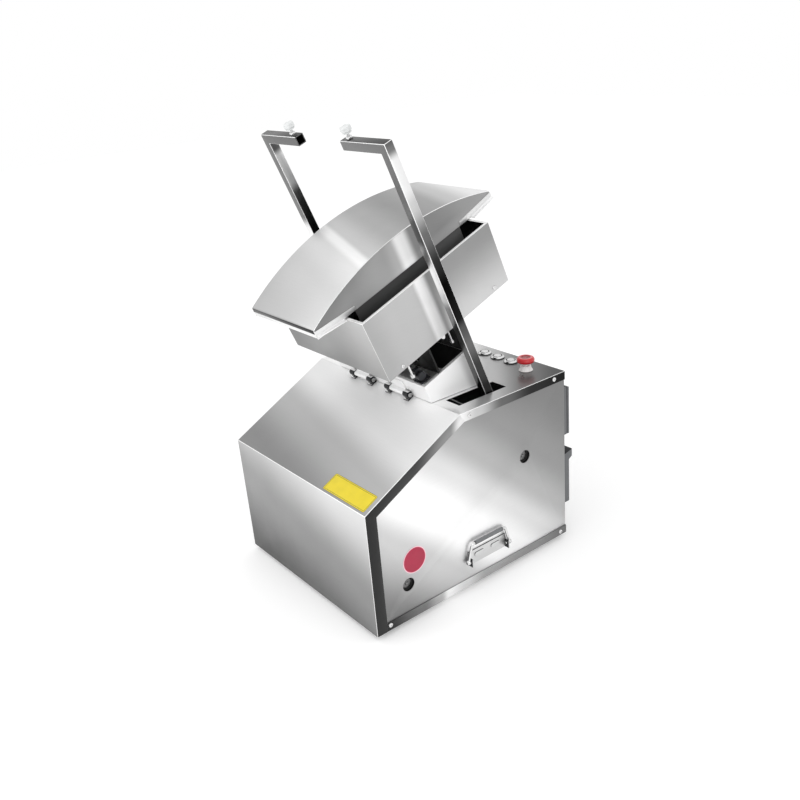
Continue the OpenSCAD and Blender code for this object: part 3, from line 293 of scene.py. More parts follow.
def refined(node, name, materials, fold=0.0, edge=0.25, angle=32, paint=None, segments=2):
    # The node's own shape, merged, with rounded folds and broken rims
    bm = bmesh.new()
    bm.from_mesh(nodes[node].data)
    bm.transform(Matrix.Scale(1000, 4))
    bmesh.ops.remove_doubles(bm, verts=bm.verts, dist=refining["weld"])
    bmesh.ops.dissolve_limit(bm, angle_limit=radians(refining["flat"]), use_dissolve_boundaries=False,
                             verts=bm.verts, edges=bm.edges, delimit=set())
    if fold:
        width = {f: f.calc_area() / max(e.calc_length() for e in f.edges) for f in bm.faces}
        bevelled(bm, [e for e in sharpEdges(bm, refining["foldFrom"], True)
                      if min(width[f] for f in e.link_faces) > refining["foldFace"]], fold, 4)
    bevelled(bm, sharpEdges(bm, refining["rimFrom"]), edge, segments)
    finishPiece(name, bm, nodes[node]["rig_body"], materials, Matrix.Scale(0.001, 4), (node,), angle,
                paint)


def turned(profile, steps=48, place=None):
    # A profile of (radius, height) turned about Z
    bm = bmesh.new()
    points = [bm.verts.new((r, 0, z)) for r, z in profile]
    lines = [bm.edges.new(pair) for pair in zip(points, points[1:])]
    bmesh.ops.spin(bm, geom=points + lines, cent=(0, 0, 0), axis=(0, 0, 1), dvec=(0, 0, 0), angle=2 * pi,
                   steps=steps, use_merge=True, use_duplicate=False)
    bmesh.ops.remove_doubles(bm, verts=bm.verts, dist=1e-4)
    bmesh.ops.recalc_face_normals(bm, faces=bm.faces)
    if place is not None:
        bm.transform(place)
    return bm


def block(size, centre, bevel=0.5, segments=2):
    bm = bmesh.new()
    bmesh.ops.create_cube(bm, size=1)
    bmesh.ops.scale(bm, vec=size, verts=bm.verts)
    bevelled(bm, bm.edges[:], bevel, segments)
    bmesh.ops.translate(bm, vec=centre, verts=bm.verts)
    return bm


def facing(x, y, z, way):
    return Matrix.Translation((x, y, z)) @ Vector(way).to_track_quat("Z", "Y").to_matrix().to_4x4()


def bentRod(points, radius, bend, sides=20):
    # A round rod along straight runs, with a round bend at each point between them
    points = [Vector(p) for p in points]
    at, way = points[0], (points[1] - points[0]).normalized()
    bm = bmesh.new()
    bmesh.ops.create_circle(bm, segments=sides, radius=radius, cap_ends=False)
    bm.transform(facing(*at, way))
    loop = bm.edges[:]
    for i, point in enumerate(points[1:], 1):
        last = i == len(points) - 1
        turn = 0 if last else way.angle(points[i + 1] - point)
        stop = point - way * (bend * tan(turn / 2))
        made = bmesh.ops.extrude_edge_only(bm, edges=loop)["geom"]
        loop = edgesOf(made)
        bmesh.ops.translate(bm, vec=stop - at, verts=vertsOf(made))
        if not last:
            after = (points[i + 1] - point).normalized()
            axis = way.cross(after).normalized()
            centre = stop + axis.cross(way) * bend
            made = bmesh.ops.spin(bm, geom=loop, cent=centre, axis=axis, dvec=(0, 0, 0), angle=turn,
                                  steps=10, use_merge=False, use_duplicate=False)["geom_last"]
            loop = edgesOf(made)
            at = centre + Matrix.Rotation(turn, 3, axis) @ (stop - centre)
            way = after
    bmesh.ops.holes_fill(bm, edges=bm.edges[:], sides=0)
    bmesh.ops.recalc_face_normals(bm, faces=bm.faces)
    return bm


def screwHead(place, radius=5.0, height=2.6, socket=0.46):
    # Button head with a hexagon socket; place puts its seat, facing Z
    bm = turned([(0, -0.6), (radius * 0.92, -0.6), (radius, 0), (radius, height * 0.18),
                 (radius * 0.9, height * 0.62), (radius * 0.66, height * 0.92), (radius * 0.5, height),
                 (0, height)], 24)
    bmesh.ops.dissolve_faces(bm, faces=[f for f in bm.faces if f.calc_center_median().z > height * 0.99])
    cap = max(bm.faces, key=lambda f: f.calc_center_median().z)
    bmesh.ops.inset_region(bm, faces=[cap], thickness=radius * 0.02)
    for v in cap.verts:
        angle = atan2(v.co.y, v.co.x)
        reach = radius * socket * cos(pi / 6) / cos((angle % (pi / 3)) - pi / 6)
        v.co.x, v.co.y = reach * cos(angle), reach * sin(angle)
    sunk = bmesh.ops.extrude_face_region(bm, geom=[cap])["geom"]
    bmesh.ops.translate(bm, vec=(0, 0, -height * 0.7), verts=vertsOf(sunk))
    if cap.is_valid:
        bmesh.ops.delete(bm, geom=[cap], context="FACES_ONLY")
    bm.transform(place)
    return bm


# Lines along the machine, in metres, that the painted light and shade run along; the arc's way is a little skew
wallLine = (alongU, 0.037, 0.393)
plateLine = (alongU, -0.035, 0.465)
tubeLine = (alongN, 0.445, 0.952)
arcWay = (0.29, cos(lean), sin(lean))
arcScale = 1.04

# Sheet steel of the cabinet; each tone ramp along a line is painted light, shade and reflection
# Front: painted shade, darker toward the bottom
frontSteel = brushedSteel("front steel", [(0, 84), (0.5, 150), (1, 222)], ((0.24, 0, 1), -0.04, 0.345),
                          rough=0.42)
# Slope: painted light, lighter toward the top
slopeSteel = brushedSteel("slope steel", [(0, 134), (0.35, 182), (0.6, 236), (1, 254)],
                          ((0.2, 0.89, 0.456), -0.145, 0.19), rough=0.55, metal=0.3)
# Flanges: a painted dark reflection with a painted bright band
flangeSteel = brushedSteel("flange steel", [(0, 54), (0.22, 74), (0.4, 150), (0.448, 240), (0.54, 196),
                                            (0.66, 104), (0.82, 44), (1, 24)], ((0, 1, 0), -0.3045, 0.2585))
# Side panels: a painted bright band of reflection between darker ends
sideSteel = brushedSteel("side steel", [(0, 138), (0.24, 206), (0.36, 254), (0.44, 254), (0.55, 226),
                                        (0.66, 186), (0.8, 156), (1, 134)], ((0, 1, 1.13), -0.1381, 0.4199),
                         grain=(90, 1, 90), rough=0.46, metal=0.9)
# Deck: painted dark reflection toward its near rear corner
deckSteel = brushedSteel("deck steel", [(0, 254), (0.36, 246), (0.52, 190), (0.75, 112), (1, 48)],
                         ((0.7, 0.72, 0), 0.03, 0.345), metal=0.6)
# Base pan: a painted bright band of reflection between darker ends
panSteel = brushedSteel("pan steel", [(0, 60), (0.18, 124), (0.27, 180), (0.31, 242), (0.4, 214), (0.52, 168),
                                      (0.8, 144), (1, 112)], ((0, 1, 0), -0.277, 0.258))
# Rear: painted shade, darker toward the bottom
rearSteel = brushedSteel("rear steel", [(0, 138), (0.5, 176), (1, 214)], ((-0.25, 0, 1), -0.04, 0.45),
                         rough=0.42)

# Sheet steel of the head and the table; each tone ramp along a line is painted light, shade and reflection
# Curved plate: a painted highlight band across it, darker on either side
arcSteel = brushedSteel("arc steel", [(0, 204), (0.2, 216), (0.345, 236), (0.375, 255), (0.395, 250),
                                      (0.42, 212), (0.55, 182), (0.68, 162), (0.8, 172), (0.88, 204), (1, 240)],
                        (arcWay, -0.035 / arcScale, 0.465 / arcScale), rough=0.5, cloud=0.02)
# End lips: painted light on the lower half, a painted dark band above
lipSteel = brushedSteel("lip steel", [(0, 246), (0.46, 240), (0.53, 64), (0.93, 52), (1, 190)],
                        (alongN, 0.677, 0.6955), rough=0.36)
# Side plates: a painted highlight band along the plate between darker parts
crescentSteel = brushedSteel("crescent steel", [(0, 138), (0.2, 150), (0.4, 178), (0.455, 196), (0.49, 250),
                                                (0.52, 236), (0.56, 140), (0.66, 146), (0.86, 160), (1, 172)],
                             plateLine, grain=(90, 1, 90), rough=0.5)
# Housing walls: a painted highlight band, and painted shade darker toward the top at the rear end
housingSteel = brushedSteel("housing steel", [(0, 178), (0.2, 194), (0.37, 200), (0.405, 252), (0.45, 254),
                                              (0.485, 176), (0.52, 168), (1, 200)],
                            wallLine, grain=(90, 1, 90), rough=0.5,
                            second=([(0, 214), (1, 160)], (alongN, 0.52, 0.66), (alongU, 0.205, 0.225)))
# End wall: painted shade, darker toward the far side
housingEnd = brushedSteel("housing end steel", [(0, 132), (0.5, 168), (1, 196)], (alongX, -0.17, 0.17),
                          rough=0.5)
# Pedestal: painted shade, darker toward its rear end
pedestalSteel = brushedSteel("pedestal steel", [(0, 252), (0.7, 254), (0.88, 196), (1, 120)],
                             (alongU, 0.1, 0.24), rough=0.45, metal=0.0)
# Painted shade on the inner sheets, the side plates' inward faces and the curved plate's underside
underShade = brushedSteel("under painted shade", [(0, 84), (0.5, 96), (1, 120)], wallLine, rough=0.5, metal=0.2)

# Square tube of the arms: lit and shaded copies of one steel by the way each face looks, with painted dark
# reflections and painted highlight bands along the tube; the far arm's side is painted darker
tubeSide = brushedSteel("tube side steel", [(0, 60), (0.11, 104), (0.19, 84), (0.24, 24), (0.4, 6), (0.5, 48),
                                            (0.62, 112), (0.75, 214), (0.82, 250), (0.93, 254), (0.97, 130),
                                            (1, 106)], tubeLine, grain=(90, 90, 1))
tubeFront = brushedSteel("tube front steel", [(0, 90), (0.2, 108), (0.29, 118), (0.34, 196), (0.4, 240),
                                              (0.5, 250), (0.55, 236), (0.61, 112), (0.8, 112), (1, 116)],
                         tubeLine, grain=(90, 90, 1))
farSide = brushedSteel("far tube side steel", [(0, 20), (0.5, 12), (0.66, 60), (0.72, 90), (0.78, 220),
                                               (0.9, 250), (0.93, 110), (1, 100)], tubeLine, grain=(90, 90, 1))
tubePlain = brushedSteel("tube plain steel", [(0, 96), (0.35, 150), (0.6, 168), (0.85, 140), (1, 118)],
                         (alongN, 0.2, 0.952), grain=(90, 90, 1))
tubeTop = brushedSteel("tube top steel", [(0, 92), (0.5, 70), (1, 84)], (alongX, -0.2, 0.2))

# Even steels, castings, paints and plastics
# Painted highlight on folds, rims and rounded edges
foldHighlight = brushedSteel("painted fold highlight", [(0, 246), (1, 254)], rough=0.4, cloud=0.03, metal=0.6)
lipBand = brushedSteel("lip band steel", [(0, 232), (1, 240)], rough=0.45, cloud=0.03, metal=0.7)
paleSteel = brushedSteel("pale steel", [(0, 238), (1, 250)], rough=0.5, metal=0.4)
plainSteel = brushedSteel("plain steel", [(0, 202), (1, 220)], rough=0.4)
# Painted shade on the support plates inside the head
innerShade = brushedSteel("inner painted shade", [(0, 54), (1, 64)], rough=0.5)
# Painted shade on inside faces, undersides and the table frame
insideShade = brushedSteel("inside painted shade", [(0, 28), (1, 38)], rough=0.6)
blackSteel = turnedSteel("blackened steel", (52,), 0.34)
platedSteel = turnedSteel("plated steel", (228,), 0.12)
groundSteel = turnedSteel("ground steel", (200,), 0.16, (4, 1, 1))
gearSteel = turnedSteel("gear steel", (168,), 0.28)
postSteel = turnedSteel("post steel", (118,), 0.3, (4, 1, 1))
capMetal = turnedSteel("cap metal", (226,), 0.26)
bronze = turnedSteel("bronze bush", (186, 142, 84), 0.28)
castIron = castSurface("cast iron", (66,), 0.6, 0.55, 260.0, 0.5)
greyPaint = castSurface("grey paint", (92, 94, 97), 0.42, coat=0.2)
motorPaint = castSurface("motor paint", (42, 74, 116), 0.4, coat=0.25)
hoodFace = castSurface("hood face", (124, 126, 129), 0.4, coat=0.2)
# Darker tone on the vent hood's upper part; painted shade on the hinge lugs, the bezels' feet and bores, the
# handle plates' edges and the bails' undersides
darkAndShade = castSurface("dark and painted shade", (46, 47, 49), 0.4, 0.7, 500.0, 0.1)
darkPlate = castSurface("dark plate", (52, 53, 56), 0.36, 0.6, 200.0, 0.2)
feetRubber = castSurface("feet rubber", (30,), 0.78, grit=700.0, depth=0.6)
beltRubber = castSurface("belt rubber", (24,), 0.7, grit=500.0, depth=0.5)
gripPlastic = castSurface("grip plastic", (112, 114, 116), 0.34, grit=900.0, depth=0.15)
knobPlastic = castSurface("knob plastic", (36,), 0.42, grit=800.0, depth=0.25)
wingPlastic = castSurface("wing plastic", (226, 228, 228), 0.3, grit=600.0, depth=0.1, spread=0.05, coat=0.2)
whiteCollar = castSurface("white collar", (236, 234, 232), 0.22, grit=900.0, depth=0.04, spread=0.05, coat=0.5)
glossy = {"rough": 0.3, "grit": 900.0, "depth": 0.08, "spread": 0.06, "coat": 0.35}
stopPlastic = castSurface("stop plastic", (196, 22, 30), **glossy)
# Painted highlight ring and painted shade in the dish of the stop head
stopHighlight = castSurface("stop painted highlight", (232, 96, 104), **glossy)
stopShade = castSurface("stop painted shade", (150, 14, 26), **glossy)
labelYellow = printedFilm("label yellow", (228, 206, 30), 0.4)
labelRim = printedFilm("label rim", (70, 68, 40), 0.4)
stickerRed = printedFilm("sticker red", (172, 22, 62), 0.4)
stickerPale = printedFilm("sticker pale rim", (250, 214, 222), 0.36)
stickerSoft = printedFilm("sticker soft rim", (226, 120, 146), 0.36)
print("finishes made")


# Paint rules: each gives a face's finish from its centre, in millimetres, and the way it looks. Many of these
# finishes are lit and shaded copies of one steel, chosen by the way the face looks.
# These are cosines, of a face that looks straight along a way and of one that roughly does.
straight = 0.95
roughly = 0.9


def tiltedPlace(centre):
    spot = centre - cabinetAt - rockerAt
    return spot.x, spot.dot(alongU), spot.dot(alongN)


def tiltedWay(normal):
    return normal.x, normal.dot(alongU), normal.dot(alongN)


# Cabinet: folded sheets with a painted highlight on the folds and painted dark reflections on the flanges
ventHood = {"brow": 184}


# The front and the slope take lit and shaded copies of one sheet
def frontFaces(centre, normal):
    if abs(normal.x) > straight:
        return 2
    if abs(normal.y) > straight or normal.z < -0.5:
        return 0
    return 1 if abs(normal.z - cos(slope)) < 0.02 else 3


def deckFaces(centre, normal):
    if abs(normal.x) > straight or abs(normal.y) > straight:
        return 1
    return 0 if abs(normal.z) > straight else 2


def boxFaces(centre, normal):
    return 1 if normal.y > roughly else 0


# The hood is darker on its upper part and on faces that look up
def hoodFaces(centre, normal):
    return 1 if centre.z > ventHood["brow"] + cabinetAt.z or normal.z > 0.5 else 0


refined("front_cover", "frontCover", [frontSteel, slopeSteel, flangeSteel, foldHighlight], 1.4,
        paint=frontFaces)
refined("deck_cover", "deckCover", [deckSteel, flangeSteel, foldHighlight], 1.4, paint=deckFaces)
refined("side_panel_right", "sidePanelRight", sideSteel, edge=0.4)
refined("side_panel_left", "sidePanelLeft", sideSteel, edge=0.4)
refined("base_pan", "basePan", panSteel, 1.2)
refined("rear_panel", "rearPanel", rearSteel, edge=0.3)
refined("rear_control_box", "rearControlBox", [greyPaint, hoodFace], edge=1.2, segments=3,
        paint=boxFaces)
refined("rear_vent_hood", "rearVentHood", [greyPaint, darkAndShade], 0.8, paint=hoodFaces)
refined("rubber_feet", "rubberFeet", feetRubber, edge=0.8, segments=3)
print("cabinet sheets done")

# Head: pedestal, housing and table sides; middle is along u, rim along n
pedestalBox = {"middle": -43, "rim": 262, "fold": 1.6}
housingBox = {"middle": 0, "rim": 476, "fold": 2.5, "side": 170, "screwU": 137, "screwN": 342}
tableSide = {"flange": 117.5, "fold": 1.6}
rimDepth = 0.4


def shellFaces(shell):
    # Outer walls and end walls; painted shade on the inward faces and those that look down; a painted highlight
    # on the folds, the rim and the faces that look along n
    def rule(centre, normal):
        x, u, n = tiltedPlace(centre)
        across, run, up = tiltedWay(normal)
        if abs(up) > roughly or n > shell["rim"] - rimDepth:
            return 3
        inward = abs(across) > roughly and across * x < 0
        endInward = abs(run) > roughly and run * (u - shell["middle"]) < 0
        if inward or endInward or up < -0.5:
            return 2
        if abs(across) > straight:
            return 0
        return 1 if abs(run) > straight else 3
    return rule


# Outer faces, a painted highlight on the flange, painted shade on the inward faces
def sideFaces(centre, normal):
    if abs(centre.x) > tableSide["flange"]:
        return 1
    return 2 if normal.x * centre.x < 0 else 0


refined("pedestal", "pedestalShell", [pedestalSteel, paleSteel, insideShade, foldHighlight],
        pedestalBox["fold"], paint=shellFaces(pedestalBox))
refined("housing_walls", "housingShell", [housingSteel, housingEnd, insideShade, foldHighlight],
        housingBox["fold"], paint=shellFaces(housingBox))
# The support plates take the inner painted shade
refined("support_plates", "supportPlates", innerShade, edge=0.6)
refined("table_sides", "tableSides", [crescentSteel, foldHighlight, underShade], tableSide["fold"],
        paint=sideFaces)

# Table: side plates with a dark inner sheet of painted shade, corner bands and the curved plate
shadeSkirt = {"x": 111.5, "sheet": 1.5, "halfLength": 150, "low": 441, "high": 488, "rim": 0.4}
cornerLip = {"x": 117, "sheet": 1.6, "from": 150, "to": 249.4, "low": 479.2, "high": 497, "inner": 488,
             "rim": 0.4}
tableTop = {"halfWidth": 116, "radius": 624.5, "crown": 552.5, "halfLength": 250, "lip": 18, "sheet": 2,
            "fold": 3, "rim": 0.3, "steps": 64}


def makeShadeSkirt():
    # Dark inner sheet below each side plate, down into the housing; the sheet and its dark tone stand for the
    # shade there
    t = shadeSkirt
    skirt = bmesh.new()
    for side in (-1, 1):
        addTo(skirt, block((t["sheet"], 2 * t["halfLength"], t["high"] - t["low"]),
                           (side * t["x"], 0, (t["high"] + t["low"]) / 2), t["rim"]))
    finishPiece("shadeSkirt", skirt, "table", underShade, tilted)


def makeCornerLips():
    # The end lips turn the corner: a band on the side plate that is lower at its inner end
    t = cornerLip
    lips = bmesh.new()
    for side in (-1, 1):
        for end in (-1, 1):
            band = block((t["sheet"], t["to"] - t["from"], t["high"] - t["low"]),
                         (0, (t["to"] + t["from"]) / 2, (t["high"] + t["low"]) / 2), t["rim"])
            for v in band.verts:
                if v.co.y < t["from"] + 2 and v.co.z > t["low"] + 2:
                    v.co.z -= t["high"] - t["inner"]
            addTo(lips, band, Matrix.Diagonal((side, end, 1, 1)) @ Matrix.Translation((t["x"], 0, 0)))
    finishPiece("cornerLips", lips, "table", lipBand, tilted)


# The arc's top, the lips with their painted bands, painted shade on the underside and inside, and a painted
# highlight on the side edges
def topFaces(centre, normal):
    x, u, n = tiltedPlace(centre)
    across, run, up = tiltedWay(normal)
    if abs(across) > 0.6:
        return 3
    if abs(u) > tableTop["halfLength"] - tableTop["fold"] - 0.5:
        return 1 if run * u > 0 else 2
    return 0 if up > 0 else 2


def makeTableTop():
    # One sheet: a lip, the long arc and the other lip, folded at both ends
    t = tableTop
    chord = (t["radius"] ** 2 - t["halfLength"] ** 2) ** 0.5
    half = atan2(t["halfLength"], chord)
    centre = t["crown"] - t["radius"]
    endHeight = centre + chord
    bm = bmesh.new()
    ends = [bm.verts.new((s * t["halfWidth"], -t["halfLength"], endHeight - t["lip"])) for s in (-1, 1)]
    made = bmesh.ops.extrude_edge_only(bm, edges=[bm.edges.new(ends)])["geom"]
    bmesh.ops.translate(bm, vec=(0, 0, t["lip"]), verts=vertsOf(made))
    made = bmesh.ops.spin(bm, geom=edgesOf(made), cent=(0, 0, centre), axis=(1, 0, 0), dvec=(0, 0, 0),
                          angle=-2 * half, steps=t["steps"], use_merge=False, use_duplicate=False)["geom_last"]
    made = bmesh.ops.extrude_edge_only(bm, edges=edgesOf(made))["geom"]
    bmesh.ops.translate(bm, vec=(0, 0, -t["lip"]), verts=vertsOf(made))
    bevelled(bm, sharpEdges(bm, 30), t["fold"], 5)
    outward(bm)
    bmesh.ops.solidify(bm, geom=bm.faces, thickness=t["sheet"])
    bevelled(bm, sharpEdges(bm, 50), t["rim"], 2)
    finishPiece("tableTop", bm, "table", [arcSteel, lipSteel, underShade, foldHighlight], tilted,
                ("curved_plate",), paint=topFaces)


makeShadeSkirt()
makeCornerLips()
makeTableTop()
print("table done")

# Arms: square tube with round edges, a mitred and welded corner, and an open tip
armTube = {"x": 203, "side": 20, "corner": 1.6, "wall": 1.8, "foot": 20.5, "top": 747, "tip": 78, "weld": 0.9,
           "rim": 0.25}


# Each face of the tube takes a lit or shaded copy of the tube steel by the way it looks: painted shade inside,
# a painted highlight on the rounded corners
def tubeFaces(centre, normal):
    a = armTube
    x, u, n = tiltedPlace(centre)
    across, run, up = tiltedWay(normal)
    side = 1 if x > 0 else -1
    x, away, half = abs(x), across * side, a["side"] / 2
    upright = n < a["top"] - half - 1
    fromAxis = (x - a["x"]) * away + u * run if upright else u * run + (n - a["top"]) * up
    tipEnd = x < a["tip"] + 1 and away < -0.5
    if fromAxis < 0 and n < a["top"] + half - 2 and not tipEnd:
        return 4
    if across > straight:
        return 0
    if abs(away) > straight or run > straight:
        return 5
    if run < -straight:
        return 1
    return 2 if abs(up) > straight else 3


def makeArm(side, name, node):
    a = armTube
    bm = bmesh.new()
    bmesh.ops.create_grid(bm, x_segments=1, y_segments=1, size=a["side"] / 2)
    bevelled(bm, bm.verts[:], a["corner"], 4, "VERTICES")
    bmesh.ops.delete(bm, geom=bm.faces[:], context="FACES_ONLY")
    bm.transform(Matrix.Translation((a["x"], 0, a["foot"])))
    made = bmesh.ops.extrude_edge_only(bm, edges=bm.edges[:])["geom"]
    for v in vertsOf(made):
        v.co.z = a["top"] + v.co.x - a["x"]  # the mitre's plane
    mitre = edgesOf(made)
    for v in vertsOf(bmesh.ops.extrude_edge_only(bm, edges=mitre)["geom"]):
        v.co.x = a["tip"]
    bevelled(bm, [e for e in mitre if e.calc_face_angle(0) > 0.5], a["weld"], 2)
    outward(bm)
    bmesh.ops.solidify(bm, geom=bm.faces, thickness=a["wall"])
    bevelled(bm, sharpEdges(bm, 60), a["rim"], 2)
    if side < 0:
        bm.transform(mirrored)
    finishPiece(name, bm, "rocker", [tubeSide if side > 0 else farSide, tubeFront, tubeTop, foldHighlight,
                                     insideShade, tubePlain], tilted, (node,), 25, tubeFaces)


makeArm(1, "armRight", "arm_right")
makeArm(-1, "armLeft", "arm_left")

# Clamp screws: threaded shank and a lobed knob; heights are along n
clampKnob = {"x": 98, "lobes": 5, "radius": 9.9, "wave": 1.3, "low": 772, "high": 782.6, "edge": 1.8,
             "collar": [(0, 769), (8.6, 769), (9, 769.6), (9, 771.4), (7.6, 772.2), (0, 772.2)],
             "disc": [(0, 782.3), (6.2, 782.3), (6.6, 782.4), (5.6, 782.75), (0, 782.75)]}
clampShank = {"tip": 755.4, "first": 755.8, "last": 768.6, "top": 769.4, "pitch": 1.0, "root": 2.5,
              "crest": 2.98, "end": 2.2}


def makeClampScrew(side, name, node, body):
    c, s = clampKnob, clampShank
    lobes = bmesh.new()
    bmesh.ops.create_circle(lobes, segments=60, radius=c["radius"], cap_ends=True)
    for v in lobes.verts:
        v.co.xy *= 1 + c["wave"] / c["radius"] * cos(c["lobes"] * atan2(v.co.y, v.co.x))
    made = bmesh.ops.extrude_face_region(lobes, geom=lobes.faces[:])["geom"]
    bmesh.ops.translate(lobes, vec=(0, 0, c["high"] - c["low"]), verts=vertsOf(made))
    bevelled(lobes, sharpEdges(lobes, 60), c["edge"], 4)
    knob = addTo(bmesh.new(), lobes, Matrix.Translation((0, 0, c["low"])))
    addTo(knob, turned(c["collar"], 40))
    addTo(knob, turned(c["disc"], 32))
    shank = [(0, s["tip"]), (s["end"], s["tip"])]
    z = s["first"]
    while z < s["last"]:
        shank += [(s["root"], z), (s["crest"], z + s["pitch"] / 2)]
        z += s["pitch"]
    shank += [(s["crest"], s["top"]), (0, s["top"])]
    stud = turned(shank, 24)
    for part in (knob, stud):
        part.transform(Matrix.Translation((c["x"], 0, 0)))
        if side < 0:
            part.transform(mirrored)
    finishPiece(name, knob, body, wingPlastic, tilted, (node,))
    finishPiece(name + "Stud", stud, body, platedSteel, tilted)


makeClampScrew(1, "clampKnobRight", "clamp_screw_right", "clamp_right")
makeClampScrew(-1, "clampKnobLeft", "clamp_screw_left", "clamp_left")
refined("clamp_nuts", "clampNuts", platedSteel, edge=0.7, segments=3)
print("arms done")

# Hinges: lugs darkened as painted shade, with painted light on their up-facing faces; pale leaves
refined("hinge_lugs", "hingeLugs", [darkAndShade, platedSteel], edge=0.9, segments=3, angle=40,
        paint=lambda centre, normal: 1 if normal.z > 0.8 else 0)
refined("hinge_pins", "hingePins", gearSteel, edge=0.5)
refined("hinge_leaves", "hingeLeaves", paleSteel, edge=0.35)

# Controls on the deck; each profile is (radius, height above the deck)
buttonRow = {"x": (34.5, 77.5, 120.5), "y": 243.5, "dish": 11.3, "foot": 15.3,
             "ring": [(10, -38), (10.8, -38), (10.8, 0.2), (15.4, 0.2), (16.2, 0.9), (16.2, 1.6), (15.6, 2.6),
                      (13.6, 5.4), (12.6, 6), (11.4, 6), (10.6, 5.6), (10, 4.4), (10, -38)],
             "cap": [(0, -20), (9.3, -20), (9.3, 5.0), (9.0, 6.0), (8.2, 6.7), (6.4, 7.1), (3.4, 7.4),
                     (0, 7.4)],
             "names": (("start_button", "startCap"), ("pause_button", "pauseCap"), ("lift_button", "liftCap"))}
stopButton = {"place": Vector((181, 230, 411)), "stem": (9, 17.8), "dish": (11.4, 28.5), "ring": (16.4, 30),
              "collar": [(7, -38), (10.8, -38), (10.8, 0.2), (15.4, 0.2), (16, 0.8), (15.6, 2.2), (13.8, 4.8),
                         (12.4, 8), (11.8, 11.4), (11.2, 12), (7.6, 12), (7, 11.4), (7, -38)],
              "head": [(0, -10), (6.7, -10), (6.7, 16.8), (7.6, 17.6), (8.6, 18), (14, 18), (16.6, 18.6),
                       (18.6, 20), (19.7, 22), (20, 24), (19.9, 26), (19.3, 28), (17.9, 29.8), (15.8, 30.8),
                       (13.4, 31), (11.6, 30.8), (10.6, 30.2), (9.6, 29.4), (0, 29.0)]}
speedKnob = {"place": (-32, 250, 411), "ribs": 12, "ribDepth": 0.06, "ribFrom": 4.9, "ribTo": 18.6, "core": 6,
             "mark": ((1.2, 6.4, 0.5), (0, 5.2, 19.7), 0.15),
             "profile": [(0, -16), (4, -16), (4, 1), (11.4, 1), (12, 1.6), (12, 3.6), (11.4, 4.4), (10, 5),
                         (9.3, 12), (9, 18.4), (8.4, 19.6), (7.4, 20), (5.4, 20), (5, 19.4), (0, 19.3)]}


def ringFaces(centre, normal):
    # Painted shade on the foot outside and in the bore round the cap
    b = buttonRow
    fromRow = centre.y - b["y"] - cabinetAt.y
    reach = min(((centre.x - x) ** 2 + fromRow ** 2) ** 0.5 for x in b["x"])
    return 1 if reach > b["foot"] or reach < b["dish"] else 0


def stopFaces(centre, normal):
    # White stem, red head, a painted highlight ring round the top and painted shade in the dish
    s = stopButton
    spot = centre - s["place"] - cabinetAt
    reach = spot.xy.length
    if reach < s["stem"][0] and spot.z < s["stem"][1]:
        return 1
    if s["dish"][0] < reach < s["ring"][0] and spot.z > s["ring"][1]:
        return 2
    return 3 if reach <= s["dish"][0] and spot.z > s["dish"][1] else 0


def makeControls():
    b, s, k = buttonRow, stopButton, speedKnob
    deck = cabinetBox["deck"]
    rings = bmesh.new()
    for x in b["x"]:
        addTo(rings, turned(b["ring"], 56), Matrix.Translation((x, b["y"], deck)))
    finishPiece("buttonRings", rings, "cabinet", [platedSteel, darkAndShade], cabinet,
                ("control_bezels",), paint=ringFaces)
    finishPiece("stopCollar", turned(s["collar"], 56, Matrix.Translation(s["place"])), "cabinet", whiteCollar,
                cabinet, ("control_bezels",))
    for x, (node, name) in zip(b["x"], b["names"]):
        finishPiece(name, turned(b["cap"], 48, Matrix.Translation((x, b["y"], deck))), node, capMetal,
                    cabinet, (node,))
    finishPiece("stopHead", turned(s["head"], 64, Matrix.Translation(s["place"])), "stop_button",
                [stopPlastic, whiteCollar, stopHighlight, stopShade], cabinet, ("stop_button",),
                paint=stopFaces)
    knob = turned(k["profile"], 72)
    for v in knob.verts:
        if k["ribFrom"] < v.co.z < k["ribTo"] and v.co.xy.length > k["core"]:
            v.co.xy *= 1 - k["ribDepth"] * max(0, cos(k["ribs"] * atan2(v.co.y, v.co.x))) ** 2
    addTo(knob, block(*k["mark"]))
    knob.transform(Matrix.Translation(k["place"]))
    finishPiece("speedKnob", knob, "speed_knob", knobPlastic, cabinet, ("speed_knob",))


makeControls()
print("controls done")

# Side handles: pressed plates and bent bails with sleeves and dome nuts
# The plates' faces across the machine stay plain; their edges and rims take painted shade
refined("handle_plates", "handlePlates", [plainSteel, darkAndShade], edge=0.7, segments=3,
        paint=lambda centre, normal: 0 if abs(normal.x) > roughly else 1)
bail = {"x": 256.5, "middle": 27.5, "pivot": 65, "foot": 61, "grip": 49, "top": 106, "rod": 3, "bend": 7,
        "dome": [(0, -5.4), (2.4, -5.0), (4.2, -3.6), (5.3, -1.4), (5.5, 0.6), (5.2, 2.2), (4.2, 3.6), (3, 4.4),
                 (3, 12), (2.6, 12.6), (0, 12.6)],
        "sleeve": [(0, -41), (3.9, -41), (4.4, -40.4), (4.5, -39.6), (4.5, 39.6), (4.4, 40.4), (3.9, 41),
                   (0, 41)]}


